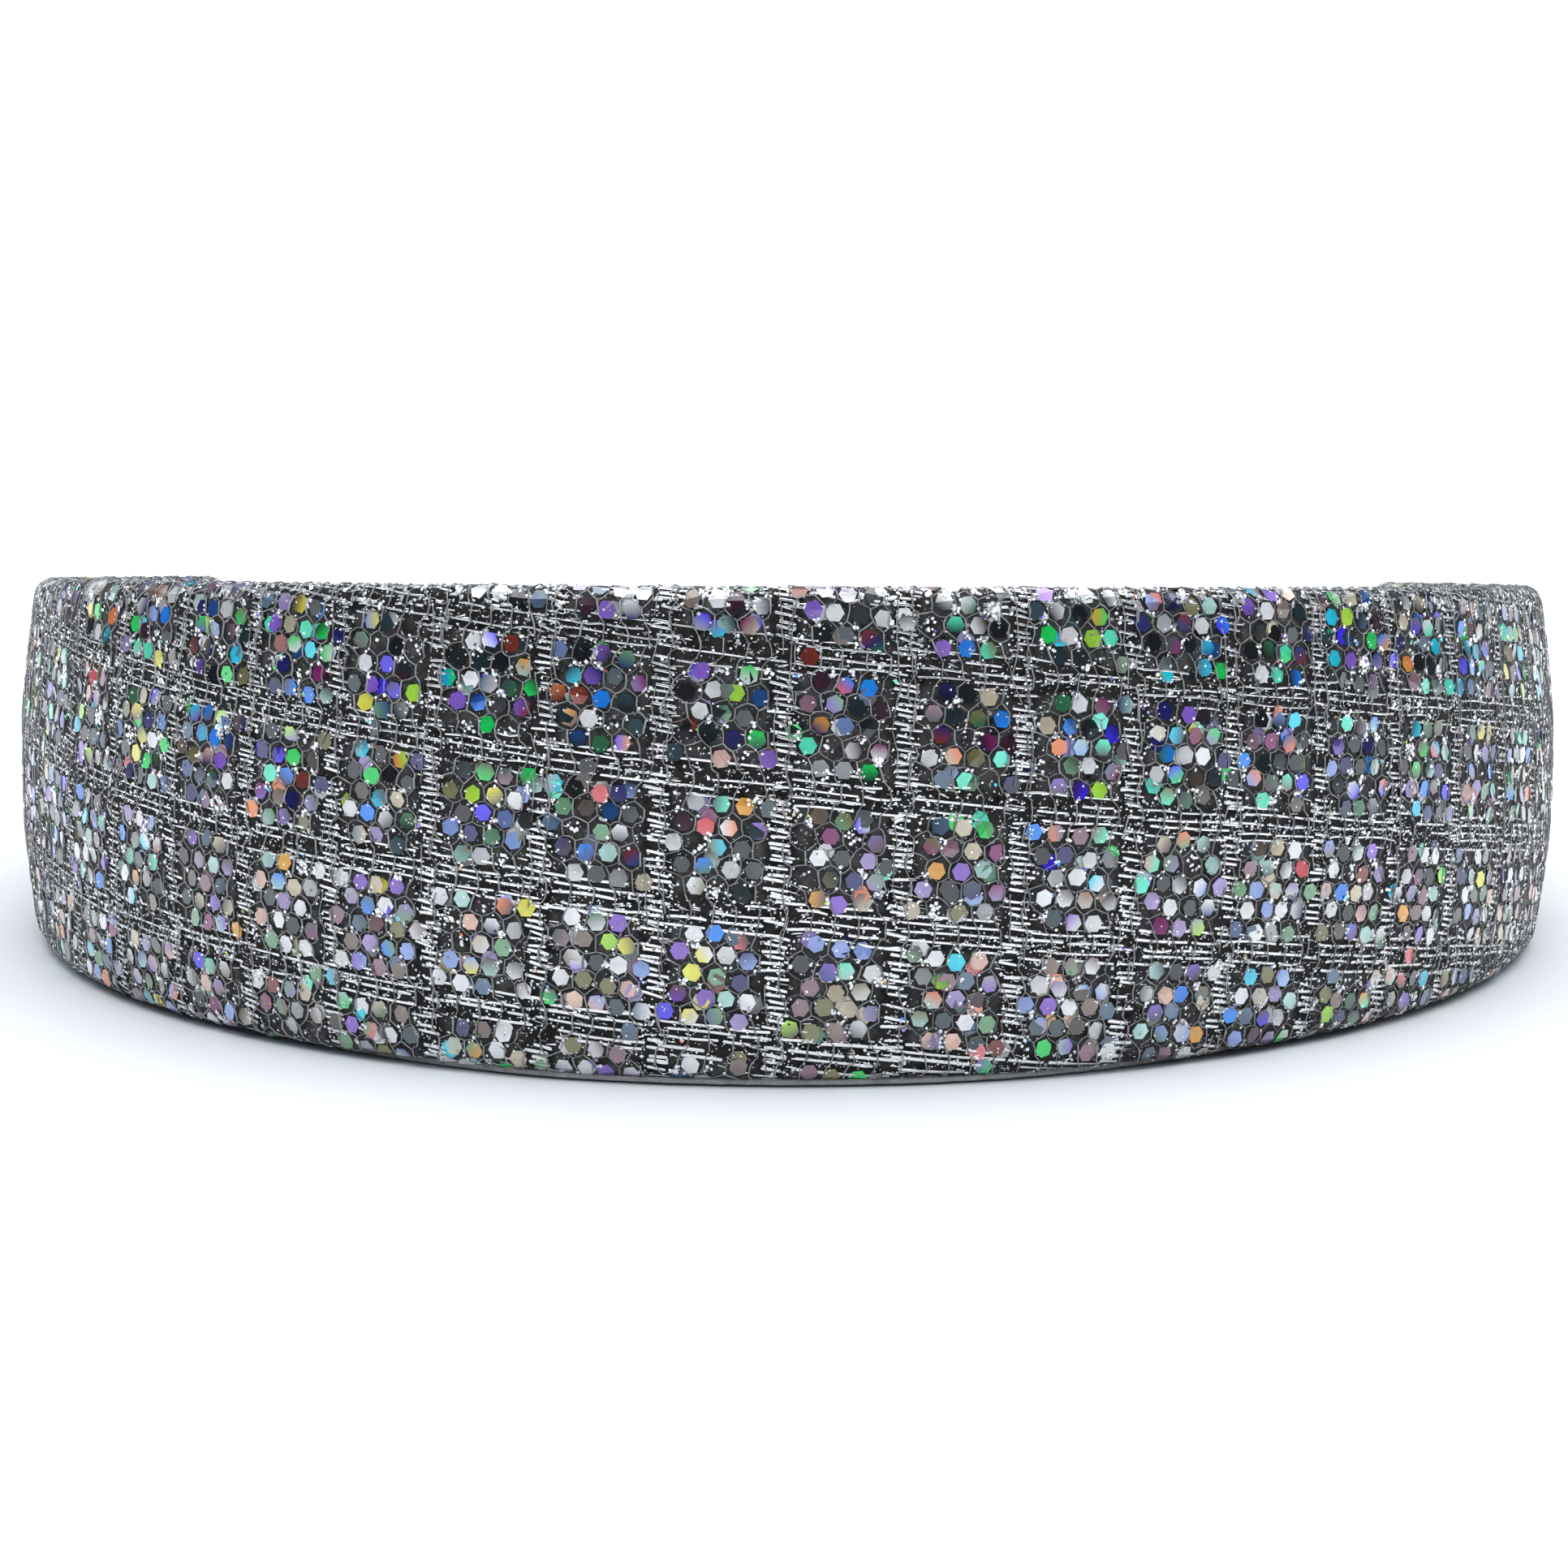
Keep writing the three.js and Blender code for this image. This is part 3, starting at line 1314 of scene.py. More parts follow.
@dataclass
class Flakes:
    """Hexagonal foil flakes, one in most of the net's cells and two in some."""

    cells: Cells
    ground: Ground
    across_flats: float = 1.33 * MM
    size_range: Range = (0.95, 1.05)
    film: float = 0.06 * MM
    lift: float = 0.08 * MM
    scatter: tuple[float, float, float] = (0.12 * MM, 0.12 * MM, 0.015 * MM)
    turn_deg: float = 30.0
    turn_spread_deg: float = 9.0
    tilt: float = 0.08
    most_tilt: float = 0.17
    flank: float = 0.9 * MM
    missing: float = 0.07
    stray: float = 0.05
    in_flank: float = 0.32
    doubled: float = 0.26
    second_lift: float = 0.01 * MM
    second_away_mm: Range = (0.38, 0.75)
    creased: float = 0.10
    crease_slope: Range = (0.04, 0.10)
    two_tone: float = 0.40
    other_shade: Range = (0.65, 1.4)
    tone_run: float = 0.6
    brightest: float = 0.95
    seed: int = 11

    def filled(self) -> Array:
        """Says which cells hold a flake."""
        draw = np.random.default_rng(self.seed).random(len(self.cells.along))
        in_flank = self.cells.between_rows & (self.cells.from_bar > self.flank)
        beside = np.where(in_flank, self.in_flank, self.stray)
        return draw < np.where(self.cells.in_block, 1 - self.missing, beside)

    def build(self) -> bpy.types.Object:
        """Builds the flakes as one piece."""
        rng = np.random.default_rng(self.seed + 1)
        filled = self.filled()
        along = self.cells.along[filled]
        across = self.cells.across[filled]
        motif = Motif.flake()
        upper = self._group(rng, motif, along, across, self.lift)
        second = rng.random(len(along)) < self.doubled
        way = rng.uniform(0, FULL_TURN, second.sum())
        far = rng.uniform(*self.second_away_mm, second.sum()) * MM
        beside = along[second] + far * np.cos(way)
        above = across[second] + far * np.sin(way)
        lower = self._group(rng, motif, beside, above, self.second_lift)
        piece = laid_mesh("foil_flakes", self.ground.layer, [upper, lower])
        return dress(piece, FOIL.material())

    def _group(
        self,
        rng: np.random.Generator,
        motif: Motif,
        along: Array,
        across: Array,
        lift: float,
    ) -> Copies:
        """Lays flakes at these places.

        Args:
            rng: the random source.
            motif: the flake.
            along: where they are along the band.
            across: where they are across it.
            lift: how far off the cloth their undersides are.

        Returns:
            The flakes.
        """
        count = len(along)
        middle = np.stack([along, across, np.full(count, lift)], axis=-1)
        middle += rng.normal(0, 1, (count, 3)) * self.scatter
        radius = self.across_flats / math.sqrt(3) * rng.uniform(*self.size_range, count)
        sizes = np.stack([radius, radius, np.full(count, self.film)], axis=-1)
        turn = rng.normal(0, math.radians(self.turn_spread_deg), count) + math.radians(self.turn_deg)
        tilt = np.clip(rng.normal(0, self.tilt, (count, 2)), -self.most_tilt, self.most_tilt)
        tint = self._tints(rng, motif, self.ground.height(along, across))
        flakes = Copies.laid(motif, middle, sizes, turn, tilt, tint)
        return replace(flakes, shift=self._creases(rng, motif, count))

    def _tints(self, rng: np.random.Generator, motif: Motif, height: Array) -> Array:
        """Draws two tones for each flake, with the painted reflection by height, and runs from one to the
        other over it.

        Args:
            rng: the random source.
            motif: the flake.
            height: how far up the face each flake is.

        Returns:
            A colour for each point of each flake.
        """
        count = len(height)
        first = Foil.draw(rng, height)
        second = Foil.draw(rng, height)
        two_tone = rng.random(count) < self.two_tone
        other = np.where(two_tone[:, None], second, first * rng.uniform(*self.other_shade, (count, 1)))
        other = np.minimum(other, self.brightest)
        way = rng.uniform(0, FULL_TURN, count)
        side = np.outer(np.cos(way), motif.points[:, 0]) + np.outer(np.sin(way), motif.points[:, 1])
        share = np.clip(0.5 + self.tone_run * side, 0, 1)[..., None]
        return first[:, None, :] * (1 - share) + other[:, None, :] * share

    def _creases(self, rng: np.random.Generator, motif: Motif, count: int) -> Array:
        """How far each point of each flake moves, where some are creased from corner to corner."""
        corner = rng.integers(0, 3, count) * math.pi / 3
        across = np.outer(np.cos(corner), motif.points[:, 1])
        along = np.outer(np.sin(corner), motif.points[:, 0])
        slope = rng.uniform(*self.crease_slope, count) * (rng.random(count) < self.creased)
        drop = slope[:, None] * np.abs(across - along) * self.across_flats / 2
        return drop[..., None] * np.array([0, 0, -1])


@dataclass(frozen=True)
class Stitch:
    """One kind of thread: its shape and width, and how far it strays from its line."""

    motif: Motif
    width: float
    wander: float
    fall: float = 0.0
    finer_above: float = 0.0
    dull: float = 0.0
    bow: float = 0.0


@dataclass(frozen=True)
class BarStitches:
    """How short stitches stack up into bars, with most left out where a row crosses."""

    length: float = 1.75 * MM
    length_range: Range = (0.75, 1.15)
    pitch: float = 0.54 * MM
    pitch_spread: float = 0.13
    shift: float = 0.022
    missing: float = 0.12
    crossing: float = 1.1 * MM
    missing_at_crossing: float = 0.6
    width: float = 0.32 * MM
    wander: float = 0.06
    fall: float = 0.05
    finer_above: float = 0.30
    bow: float = 0.06 * MM


@dataclass(frozen=True)
class RowStitches:
    """How long stitches lie side by side in a row. Places along it are in shares of the bars' pitch."""

    lines: int = 5
    line_pitch: float = 0.66 * MM
    line_wander: float = 0.06 * MM
    line_shift: float = 0.02
    start: Range = (-0.03, 0.18)
    end: Range = (0.82, 1.03)
    split: Range = (0.3, 0.75)
    split_gap: float = 0.035
    shortest: float = 0.08
    whole: float = 0.2
    whole_outside: float = 0.3
    missing: float = 0.14
    missing_outside: float = 0.24
    width: float = 0.30 * MM
    wander: float = 0.015
    finer_above: float = 0.46
    bow: float = 0.09 * MM


@dataclass(frozen=True)
class Flecks:
    """How short ends of thread are strewn over the tinsel and the rolled upper edge."""

    half_length: Range = (0.10 * MM, 0.48 * MM)
    in_rows: int = 30
    in_bars: int = 18
    width: float = 0.15 * MM
    wander: float = 0.13
    dull: float = 0.4
    bow: float = 0.05 * MM
    on_top: int = 1700
    top_width: float = 0.28 * MM
    top_wander: float = 0.2
    top_dull: float = 0.1
    past_top: Range = (-0.4 * MM, 3.0 * MM)


@dataclass
class Tinsel:
    """Silver thread: bars of short stitches, rows of long ones, and short flecks between them."""

    plaid: Plaid
    ground: Ground
    bars: BarStitches = BarStitches()
    rows: RowStitches = RowStitches()
    flecks: Flecks = Flecks()
    width_range: Range = (0.82, 1.15)
    flatness: float = 0.17
    lift: float = 0.068 * MM
    silver: Colour = (0.98, 0.975, 0.97)
    painted_twist_range: Range = (0.93, 1.0)
    bright_shade: Range = (0.9, 1.0)
    dull_shade: Range = (0.15, 0.6)
    nod_low: float = 0.15
    nod_high: float = 0.10
    nod_spread: float = 0.05
    seed: int = 23

    def build(self) -> list[bpy.types.Object]:
        """Builds the bars, the rows and the flecks, each as one piece."""
        rng = np.random.default_rng(self.seed)
        finish = TINSEL.material()
        groups = {
            "tinsel_bars": [self._bars(rng)],
            "tinsel_rows": [self._rows(rng)],
            "tinsel_flecks": [self._flecks(rng), self._top_flecks(rng)],
        }
        pieces = [laid_mesh(name, self.ground.layer, group) for name, group in groups.items()]
        return [dress(piece, finish) for piece in pieces]

    def _laid(self, rng: np.random.Generator, stitch: Stitch, start: Array, end: Array) -> Copies:
        """Lays threads.

        Args:
            rng: the random source.
            stitch: the kind of thread.
            start: where each starts, as along and across on the last axis.
            end: where each ends.

        Returns:
            The threads that are on the cloth.
        """
        kept = self.ground.holds_both(start, end)
        centre = ((start + end) / 2)[kept]
        span = (end - start)[kept]
        count = len(span)
        turn = np.arctan2(span[:, 1], span[:, 0]) + rng.normal(-stitch.fall, stitch.wander, count)
        middle = np.concatenate([centre, np.full((count, 1), self.lift)], axis=-1)
        height = self.ground.height(centre[:, 0], centre[:, 1])
        width = stitch.width * rng.uniform(*self.width_range, count)
        thick = width * (1 - stitch.finer_above * height) / 2
        length = np.hypot(span[:, 0], span[:, 1])
        sizes = np.stack([length / 2, thick, thick * self.flatness], axis=-1)
        # Painted shade: each point of a thread is darkened a little at random, standing in for the light
        # and dark of a twisted thread.
        painted_twist = rng.uniform(*self.painted_twist_range, (count, len(stitch.motif.points), 1))
        is_dull = rng.random(count) < stitch.dull
        dull = rng.uniform(*self.dull_shade, count)
        gleam = np.where(is_dull, dull, rng.uniform(*self.bright_shade, count))
        tint = np.array(self.silver) * painted_twist * gleam[:, None, None]
        nod = self.nod_low + (self.nod_high - self.nod_low) * height
        tilt = np.stack([np.zeros(count), rng.normal(nod, self.nod_spread)], axis=-1)
        threads = Copies.laid(stitch.motif, middle, sizes, turn, tilt, tint)
        return threads.bowed(rng.normal(0, stitch.bow, count))

    def _bars(self, rng: np.random.Generator) -> Copies:
        """The short stitches, stacked into upright bars."""
        bars = self.bars
        per_row = self.plaid.row_pitch / bars.pitch
        most = int(self.plaid.reach * per_row)
        grid = np.meshgrid(self.plaid.numbers, np.arange(-most, most))
        bar, step = (part.ravel() for part in grid)
        row = (step + rng.normal(0, bars.pitch_spread, len(step))) / per_row
        at_crossing = self.plaid.from_row(row) < bars.crossing
        kept = rng.random(len(row)) > np.where(at_crossing, bars.missing_at_crossing, bars.missing)
        half = bars.length / 2 / self.plaid.bar_pitch * rng.uniform(*bars.length_range, len(row))
        shift = rng.normal(0, bars.shift, len(row))
        start = self._cloth((bar + shift - half)[kept], row[kept])
        end = self._cloth((bar + shift + half)[kept], row[kept])
        stitch = Stitch(
            Motif.thread(steps=3, sides=6, dive=0.12),
            bars.width,
            bars.wander,
            fall=bars.fall,
            finer_above=bars.finer_above,
            bow=bars.bow,
        )
        return self._laid(rng, stitch, start, end)

    def _rows(self, rng: np.random.Generator) -> Copies:
        """The long stitches that run from bar to bar, many in two lengths."""
        rows = self.rows
        outermost = (rows.lines - 1) / 2
        grid = np.meshgrid(self.plaid.numbers, self.plaid.numbers, np.arange(rows.lines) - outermost)
        bar, row, line = (part.ravel() for part in grid)
        count = len(bar)
        off_middle = line * rows.line_pitch + rng.normal(0, rows.line_wander, count)
        level = row + off_middle / self.plaid.row_pitch
        left = bar + rng.uniform(*rows.start, count) - rows.line_shift * line
        right = bar + rng.uniform(*rows.end, count) - rows.line_shift * line
        outside = np.abs(line) == outermost
        whole = rng.random(count) < np.where(outside, rows.whole_outside, rows.whole)
        split = left + (right - left) * np.where(whole, 1.0, rng.uniform(*rows.split, count))
        starts = np.concatenate([left, split + rows.split_gap])
        ends = np.concatenate([split, right])
        missing = np.where(outside, rows.missing_outside, rows.missing)
        dropped = rng.random(2 * count) < np.tile(missing, 2)
        kept = (ends - starts > rows.shortest) & ~dropped
        levels = np.tile(level, 2)[kept]
        start = self._cloth(starts[kept], levels)
        end = self._cloth(ends[kept], levels)
        stitch = Stitch(
            Motif.thread(steps=5, sides=6, dive=0.05),
            rows.width,
            rows.wander,
            finer_above=rows.finer_above,
            bow=rows.bow,
        )
        return self._laid(rng, stitch, start, end)

    def _cloth(self, bars: Array, rows: Array) -> Array:
        """Takes places counted in bars and rows to along and across, on the last axis."""
        return np.stack(self.plaid.to_cloth(bars, rows), axis=-1)

    def _flecks(self, rng: np.random.Generator) -> Copies:
        """Short ends of thread, strewn over the rows and bars."""
        flecks = self.flecks
        bar, row = self.plaid.strewn(rng, flecks.in_rows, flecks.in_bars)
        half = rng.uniform(*flecks.half_length, len(bar)) / self.plaid.bar_pitch
        motif = Motif.thread(steps=3, sides=3, dive=0.15)
        stitch = Stitch(motif, flecks.width, flecks.wander, dull=flecks.dull, bow=flecks.bow)
        return self._laid(rng, stitch, self._cloth(bar - half, row), self._cloth(bar + half, row))

    def _top_flecks(self, rng: np.random.Generator) -> Copies:
        """Thread ends that crowd on the rolled upper edge."""
        flecks = self.flecks
        layer = self.ground.layer
        along = rng.uniform(-layer.half_length, layer.half_length, flecks.on_top)
        across = layer.face(along)[1] + rng.uniform(*flecks.past_top, flecks.on_top)
        half = rng.uniform(*flecks.half_length, flecks.on_top)
        start = np.stack([along - half, across], axis=-1)
        end = np.stack([along + half, across], axis=-1)
        motif = Motif.thread(steps=3, sides=4, dive=0.15)
        stitch = Stitch(motif, flecks.top_width, flecks.top_wander, dull=flecks.top_dull)
        return self._laid(rng, stitch, start, end)


@dataclass
class Net:
    """Fine tulle over the cloth: a cell round each flake, and wavy upright lines over tinsel."""

    plaid: Plaid
    ground: Ground
    thread_radius: float = 0.056 * MM
    thread_range: Range = (0.8, 1.2)
    lift: float = 0.13 * MM
    over_tinsel: float = 0.10 * MM
    near_bar: float = 1.3 * MM
    near_row: float = 1.5 * MM
    cell_corner: float = 2 / 3
    wander: float = 0.11 * MM
    bow: float = 0.09 * MM
    upright_weight: float = 1.4
    drawn_in: float = 0.5
    gathers: tuple[float, ...] = (-0.62 * MM, 0.48 * MM)
    gather_wander: float = 0.16 * MM
    loose_low: float = 0.85
    loose_high: float = 0.15
    shade: Colour = (0.36, 0.356, 0.352)
    shade_range: Range = (0.55, 1.3)
    seed: int = 37

    def build(self) -> bpy.types.Object:
        """Builds the strands as one piece."""
        rng = np.random.default_rng(self.seed)
        column, line = np.meshgrid(self.plaid.cell_columns, self.plaid.cell_lines, indexing="ij")
        sides = self._strands(rng, *self._cell_sides(rng, column, line))
        gathers = [self._strands(rng, *self._gather(rng, offset)) for offset in self.gathers]
        piece = laid_mesh("tulle_net", self.ground.layer, [sides, *gathers])
        return dress(piece, TULLE.material())

    def _points(self, rng: np.random.Generator, bars: Array, rows: Array) -> Array:
        """Takes places counted in bars and rows to cloth coordinates, each moved a little at random."""
        along, across = self.plaid.to_cloth(bars, rows)
        lift = self.lift + self.over_tinsel * self._over(bars, rows)
        points = np.stack([along, across, lift], axis=-1)
        points[..., :2] += rng.normal(0, self.wander, points[..., :2].shape)
        return points

    def _over(self, bars: Array, rows: Array) -> Array:
        """Says which places lie over tinsel."""
        over_bar = self.plaid.from_bar(bars) < self.near_bar
        return over_bar | (self.plaid.from_row(rows) < self.near_row)

    def _corners(self, rng: np.random.Generator, column: Array, line: Array, up: float) -> Array:
        """The top or bottom corner of every cell, drawn in towards an upright line over tinsel."""
        bars = self.plaid.staggered(column, line)
        rows = (line + up) / self.plaid.cells_per_row
        inwards = self.drawn_in * (0.25 - 0.5 * (line % 2)) / self.plaid.cells_per_bar
        return self._points(rng, bars + inwards * self._over(bars, rows), rows)

    def _cell_sides(
        self,
        rng: np.random.Generator,
        column: Array,
        line: Array,
    ) -> tuple[Array, Array, Array]:
        """The sides between neighbouring corners: two slanting ones and an upright one for each cell.

        Args:
            rng: the random source.
            column: each cell's column.
            line: each cell's line.

        Returns:
            The start and the end of each side, and its weight, since the upright ones are two strands.
            Over tinsel every other slanting side is left out.
        """
        tops = self._corners(rng, column, line, self.cell_corner)
        bottoms = self._corners(rng, column, line, -self.cell_corner)
        odd = (line % 2 == 1)[:-1, 1:-1]
        above = np.where(odd[..., None], bottoms[1:, 2:], bottoms[:-1, 2:])
        below = np.where(odd[..., None], tops[1:, :-2], tops[:-1, :-2])
        pairs = [(tops[:-1, 1:-1], above), (above, below), (below, bottoms[:-1, 1:-1])]
        start = np.concatenate([pair[0].reshape(-1, 3) for pair in pairs])
        end = np.concatenate([pair[1].reshape(-1, 3) for pair in pairs])
        spare = np.concatenate([odd.ravel(), np.zeros(odd.size, bool), odd.ravel()])
        raised = np.minimum(start[:, 2], end[:, 2]) > self.lift + self.over_tinsel / 2
        kept = ~(spare & raised)
        weight = np.repeat([1.0, self.upright_weight, 1.0], odd.size)
        return start[kept], end[kept], weight[kept]

    def _gather(self, rng: np.random.Generator, offset: float) -> tuple[Array, Array]:
        """One more upright line on each bar, where the stitches draw the net together.

        Args:
            rng: the random source.
            offset: how far the line is from the middle of its bar.

        Returns:
            The start and the end of each strand.
        """
        plaid = self.plaid
        bar, line = np.meshgrid(plaid.numbers, plaid.cell_lines, indexing="ij")
        offset = offset + rng.normal(0, self.gather_wander, bar.shape)
        points = self._points(rng, bar + offset / plaid.bar_pitch, line / plaid.cells_per_row)
        height = self.ground.height(points[:, 1:, 0], points[:, 1:, 1])
        kept = rng.random(height.shape) > self.loose_low + (self.loose_high - self.loose_low) * height
        return points[:, :-1][kept], points[:, 1:][kept]

    def _strands(
        self,
        rng: np.random.Generator,
        start: Array,
        end: Array,
        weight: Array | None = None,
    ) -> Copies:
        """Lays a strand from each start to its end.

        Args:
            rng: the random source.
            start: along, across and lift of one end of each.
            end: the same of the other.
            weight: how thick each is, for a single strand's 1.

        Returns:
            The strands that are on the cloth.
        """
        weight = np.ones(len(start)) if weight is None else weight
        kept = self.ground.holds_both(start, end)
        start = start[kept]
        span = end[kept] - start
        length = np.hypot(span[:, 0], span[:, 1])
        turn = np.arctan2(span[:, 1], span[:, 0])
        thick = self.thread_radius * weight[kept] * rng.uniform(*self.thread_range, len(length))
        sizes = np.stack([length / 2 + thick / 2, thick, thick], axis=-1)
        tilt = np.stack([span[:, 2] / length, np.zeros(len(length))], axis=-1)
        tint = np.array(self.shade) * rng.uniform(*self.shade_range, (len(length), 1))
        strands = Copies.laid(Motif.strand(), start + span / 2, sizes, turn, tilt, tint)
        return strands.bowed(rng.normal(0, self.bow, len(length)))


@dataclass(frozen=True)
class Chip:
    """One kind of glitter: a chip's shape and size, and how it lies."""

    sides: int
    radius: Range
    narrowest: float
    flatness: float
    lift: Range
    tilt: float
    nod: float

    def lie(
        self,
        rng: np.random.Generator,
        along: Array,
        across: Array,
    ) -> tuple[Array, Array, Array, Array]:
        """Draws how each chip lies.

        Args:
            rng: the random source.
            along: where they are along the band.
            across: where they are across it.

        Returns:
            The middle, half sizes, turn and tilt of each, as Copies.laid takes them.
        """
        count = len(along)
        middle = np.stack([along, across, rng.uniform(*self.lift, count)], axis=-1)
        radius = rng.uniform(*self.radius, count)
        width = radius * rng.uniform(self.narrowest, 1.0, count)
        turn = rng.uniform(0, FULL_TURN, count)
        nod = self.nod * np.stack([np.sin(turn), np.cos(turn)], axis=-1)
        tilt = rng.normal(0, self.tilt, (count, 2)) + nod
        return middle, np.stack([radius, width, radius * self.flatness], axis=-1), turn, tilt


@dataclass
class Grains:
    """Glitter grains: a cluster in each empty cell, a few beside each flake and among the tinsel."""

    cells: Cells
    ground: Ground
    filled: Array
    chip: Chip = Chip(
        sides=4,
        radius=(0.14 * MM, 0.24 * MM),
        narrowest=0.8,
        flatness=0.35,
        lift=(0.05 * MM, 0.20 * MM),
        tilt=0.13,
        nod=0.18,
    )
    in_empty: float = 12.0
    round_flake: float = 3.3
    among_tinsel: float = 1.6
    at_bottom: float = 0.85
    at_top: float = 1.25
    on_top_roll: float = 3.6
    top_roll_from: float = 0.985
    evenness: float = 0.9
    thinnest: float = 0.25
    beside_flake: Range = (0.85 * MM, 1.0 * MM)
    off_middle: Range = (0.0, 0.5 * MM)
    flake_cluster: float = 0.19 * MM
    cell_cluster: float = 0.36 * MM
    white: float = 0.97
    whites: float = 0.82
    grey_range: Range = (0.15, 0.6)
    coloured: float = 0.10
    seed: int = 53

    def build(self) -> bpy.types.Object:
        """Builds the grains as one piece."""
        rng = np.random.default_rng(self.seed)
        along, across = self._places(rng)
        kept = self.ground.holds(along, across)
        along = along[kept]
        across = across[kept]
        lie = self.chip.lie(rng, along, across)
        tint = self._tints(rng, self.ground.height(along, across))
        group = Copies.laid(Motif.grain(self.chip.sides), *lie, tint)
        piece = laid_mesh("glitter_grains", self.ground.layer, [group])
        return dress(piece, GRAIN.material())

    def _places(self, rng: np.random.Generator) -> tuple[Array, Array]:
        """Strews grains round each cell's cluster.

        Args:
            rng: the random source.

        Returns:
            Along and across of each grain.
        """
        cells = self.cells
        count = len(cells.along)
        height = self.ground.height(cells.along, cells.across)
        rising = self.at_bottom + (self.at_top - self.at_bottom) * height
        typical = np.where(cells.in_block, self.in_empty, self.among_tinsel)
        typical = np.where(self.filled, self.round_flake, typical)
        typical = typical * np.where(height > self.top_roll_from, self.on_top_roll, rising)
        typical = typical * np.maximum(rng.gamma(self.evenness, 1 / self.evenness, count), self.thinnest)
        owner = np.repeat(np.arange(count), rng.poisson(typical))
        way = rng.uniform(0, FULL_TURN, count)
        beside = rng.uniform(*self.beside_flake, count)
        far = np.where(self.filled, beside, rng.uniform(*self.off_middle, count))
        strewn = np.where(self.filled, self.flake_cluster, self.cell_cluster)[owner]
        along = (cells.along + far * np.cos(way))[owner] + rng.normal(0, strewn)
        return along, (cells.across + far * np.sin(way))[owner] + rng.normal(0, strewn)

    def _tints(self, rng: np.random.Generator, height: Array) -> Array:
        """White or grey for most grains, and for a few a flake's colour, with the flakes' painted
        reflection by height.
        """
        count = len(height)
        is_white = rng.random((count, 1)) < self.whites
        plain = np.where(is_white, self.white, rng.uniform(*self.grey_range, (count, 1))) * np.ones(3)
        coloured = rng.random(count) < self.coloured
        return np.where(coloured[:, None], Foil.draw(rng, height), plain)


@dataclass
class Specks:
    """The finest glitter: specks strewn over the tinsel, and thinly over the whole cloth."""

    plaid: Plaid
    ground: Ground
    chip: Chip = Chip(
        sides=3,
        radius=(0.11 * MM, 0.20 * MM),
        narrowest=0.6,
        flatness=0.4,
        lift=(0.08 * MM, 0.20 * MM),
        tilt=0.15,
        nod=0.16,
    )
    in_rows: int = 66
    in_bars: int = 48
    anywhere: int = 5000
    white: float = 0.97
    greys: float = 0.3
    grey_range: Range = (0.1, 0.5)
    seed: int = 61

    def build(self) -> bpy.types.Object:
        """Builds the specks as one piece."""
        rng = np.random.default_rng(self.seed)
        layer = self.ground.layer
        along, across = self.plaid.to_cloth(*self.plaid.strewn(rng, self.in_rows, self.in_bars))
        loose = rng.uniform(-layer.half_length, layer.half_length, self.anywhere)
        along = np.concatenate([along, loose])
        across = np.concatenate([across, rng.uniform(*layer.face(loose))])
        kept = self.ground.holds(along, across)
        lie = self.chip.lie(rng, along[kept], across[kept])
        is_grey = rng.random(kept.sum()) < self.greys
        shade = np.where(is_grey, rng.uniform(*self.grey_range, kept.sum()), self.white)
        group = Copies.laid(Motif.grain(self.chip.sides), *lie, shade[:, None] * np.ones(3))
        return dress(laid_mesh("glitter_specks", layer, [group]), GRAIN.material())


def dress(
    piece: bpy.types.Object,
    material: bpy.types.Material,
    stands_for: str | None = None,
) -> bpy.types.Object:
    """Gives a piece its finish and its place in the part.

    Args:
        piece: the piece.
        material: its finish.
        stands_for: the CAD node that it replaces.

    Returns:
        The piece.
    """
    piece.data.materials.append(material)
    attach(piece, BODY)
    if stands_for:
        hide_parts(stands_for)
    LOG.info("%s: %d faces", piece.name, len(piece.data.polygons))
    return piece


# The studio


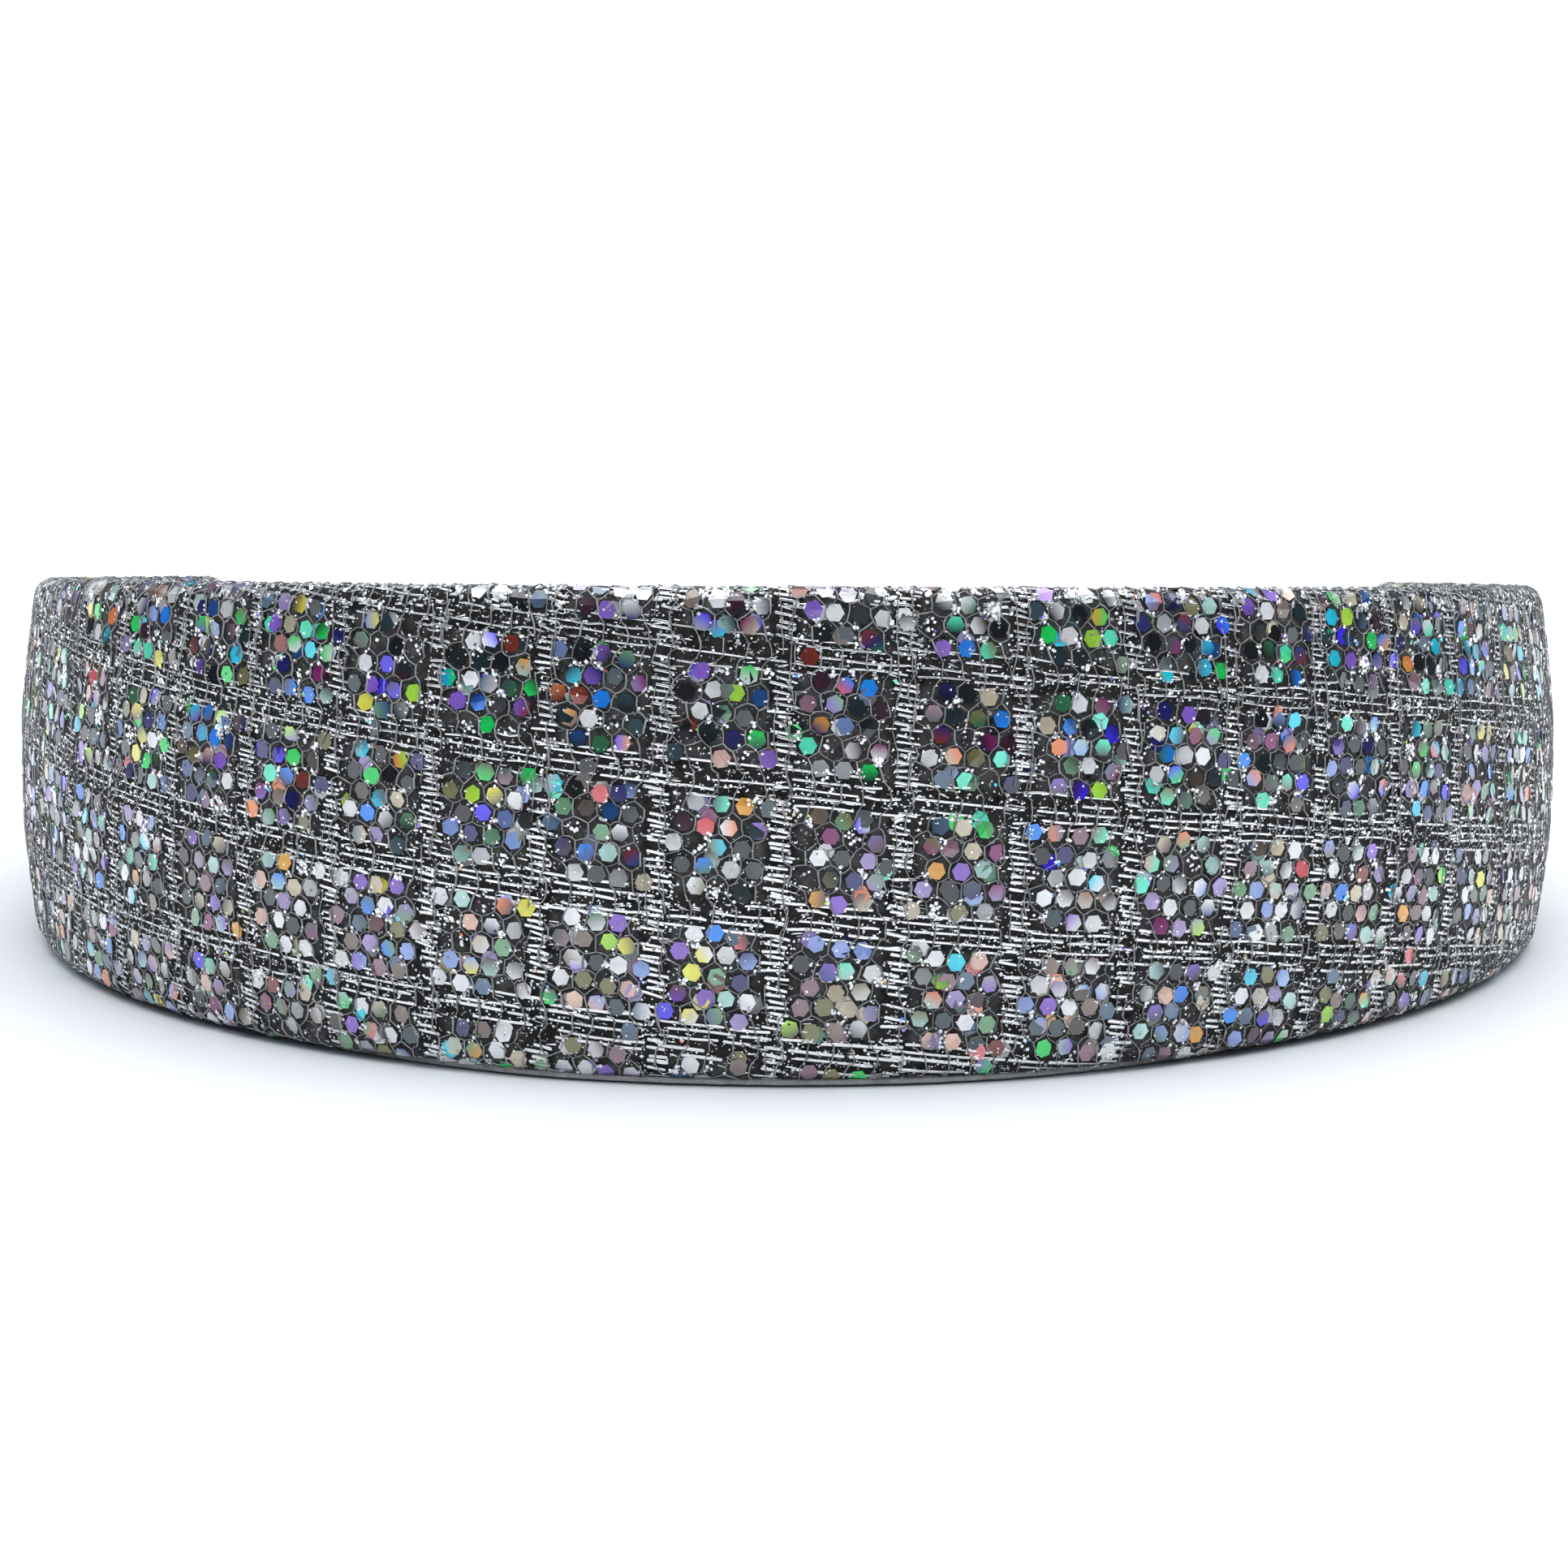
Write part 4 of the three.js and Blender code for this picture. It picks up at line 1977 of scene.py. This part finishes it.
@dataclass
class Studio:
    """A white floor under soft light from above, and the camera."""

    eye: Vector = Vector((9.68 * MM, -497.48 * MM, 95.94 * MM))
    pitch: float = 0.16396
    yaw: float = 0.01977
    roll: float = 0.0026142
    focal_pixels: float = 6852.4
    sensor_mm: float = 36.0
    clip: Range = (0.01, 50.0)
    floor_half: float = 7.0
    sun_energy: float = 2.9
    sun_colour: Colour = (1.0, 0.965, 0.92)
    sun_angle_deg: float = 80.0
    sun_tilt_deg: Range = (-6.0, 3.0)
    backdrop: Colour = (1.0, 1.0, 1.0)
    sky_stops: tuple[tuple[float, Colour], ...] = (
        (0.50, (0.030, 0.034, 0.040)),
        (0.66, (0.080, 0.090, 0.105)),
        (0.82, (0.580, 0.680, 0.820)),
        (1.00, (0.720, 0.840, 1.000)),
    )

    def build(self) -> None:
        """Builds the floor, the light and the camera."""
        self._build_floor()
        self._build_sky()
        self._build_sun()
        self._build_camera()

    def _build_floor(self) -> None:
        """Lays the floor."""
        shape = bmesh.new()
        bmesh.ops.create_grid(shape, x_segments=2, y_segments=2, size=self.floor_half)
        floor = link_shape("studio_floor", shape)
        floor.data.materials.append(StudioFloor().material())

    def _build_sky(self) -> None:
        """Sets soft light from above that is dim near the horizon, before a white backdrop."""
        world = bpy.data.worlds.new("studio_sky")
        bpy.context.scene.world = world
        world.use_nodes = True
        graph = Graph(world.node_tree)
        way = graph.add("ShaderNodeTexCoord", None, None, "Generated")
        up = graph.add("ShaderNodeSeparateXYZ", None, {0: way}, "Z")
        sky = graph.add("ShaderNodeValToRGB", {"stops": self.sky_stops}, {0: up.between(-1, 1, 0, 1)})
        light = graph.add("ShaderNodeBackground", None, {"Color": sky, "Strength": 1.0})
        sheet = {"Color": (*self.backdrop, 1.0), "Strength": 1.0}
        white = graph.add("ShaderNodeBackground", None, sheet)
        seen = graph.add("ShaderNodeLightPath", None, None, "Is Camera Ray")
        both = graph.add("ShaderNodeMixShader", None, {0: seen, 1: light, 2: white})
        graph.add("ShaderNodeOutputWorld", None, {"Surface": both})

    def _build_sun(self) -> None:
        """Sets one wide, soft light overhead."""
        lamp = bpy.data.lights.new("overhead", "SUN")
        lamp.energy = self.sun_energy
        lamp.color = self.sun_colour
        lamp.angle = math.radians(self.sun_angle_deg)
        light = bpy.data.objects.new("overhead", lamp)
        light.rotation_euler = [math.radians(tilt) for tilt in (*self.sun_tilt_deg, 0)]
        bpy.context.scene.collection.objects.link(light)

    def _build_camera(self) -> None:
        """Sets the camera at the photograph's angle."""
        lens = bpy.data.cameras.new("camera")
        lens.sensor_fit = "AUTO"
        lens.sensor_width = self.sensor_mm
        lens.lens = self.sensor_mm * self.focal_pixels / PHOTO_PIXELS
        lens.clip_start, lens.clip_end = self.clip
        camera = bpy.data.objects.new("camera", lens)
        aim = Matrix.Rotation(self.yaw, 4, "Z") @ Matrix.Rotation(math.pi / 2 - self.pitch, 4, "X")
        camera.matrix_world = Matrix.Translation(self.eye) @ aim @ Matrix.Rotation(self.roll, 4, "Z")
        bpy.context.scene.collection.objects.link(camera)
        scene = bpy.context.scene
        scene.camera = camera
        scene.view_settings.view_transform = "Standard"
        scene.view_settings.look = "None"


def main() -> None:
    logging.basicConfig(level=logging.INFO, format="%(name)s: %(message)s")
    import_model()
    Studio().build()
    band = Band(front=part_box("cover")[0].y)
    cover_layer = Layer(band, depth=0.0, thickness=2.2 * MM, low_trim=0.62 * MM)
    lining_layer = Layer(
        band,
        depth=2.45 * MM,
        thickness=1.0 * MM,
        high_trim=2.5 * MM,
        tip_trim=2.5 * MM,
    )
    plaid = Plaid()
    ground = Ground(cover_layer)
    cells = Cells.find(plaid, ground)
    flakes = Flakes(cells, ground)
    cover = Cover(cover_layer, plaid).build()
    lining = Lining(lining_layer).build()
    lip = Lip(lining_layer).build()
    trimmings = [
        flakes.build(),
        *Tinsel(plaid, ground).build(),
        Net(plaid, ground).build(),
        Grains(cells, ground, flakes.filled()).build(),
        Specks(plaid, ground).build(),
    ]
    cover_layer.flat_size()
    cover_layer.flat_area()
    lining_layer.flat_size()
    lining_layer.flat_area()


if __name__ == "__main__":
    main()
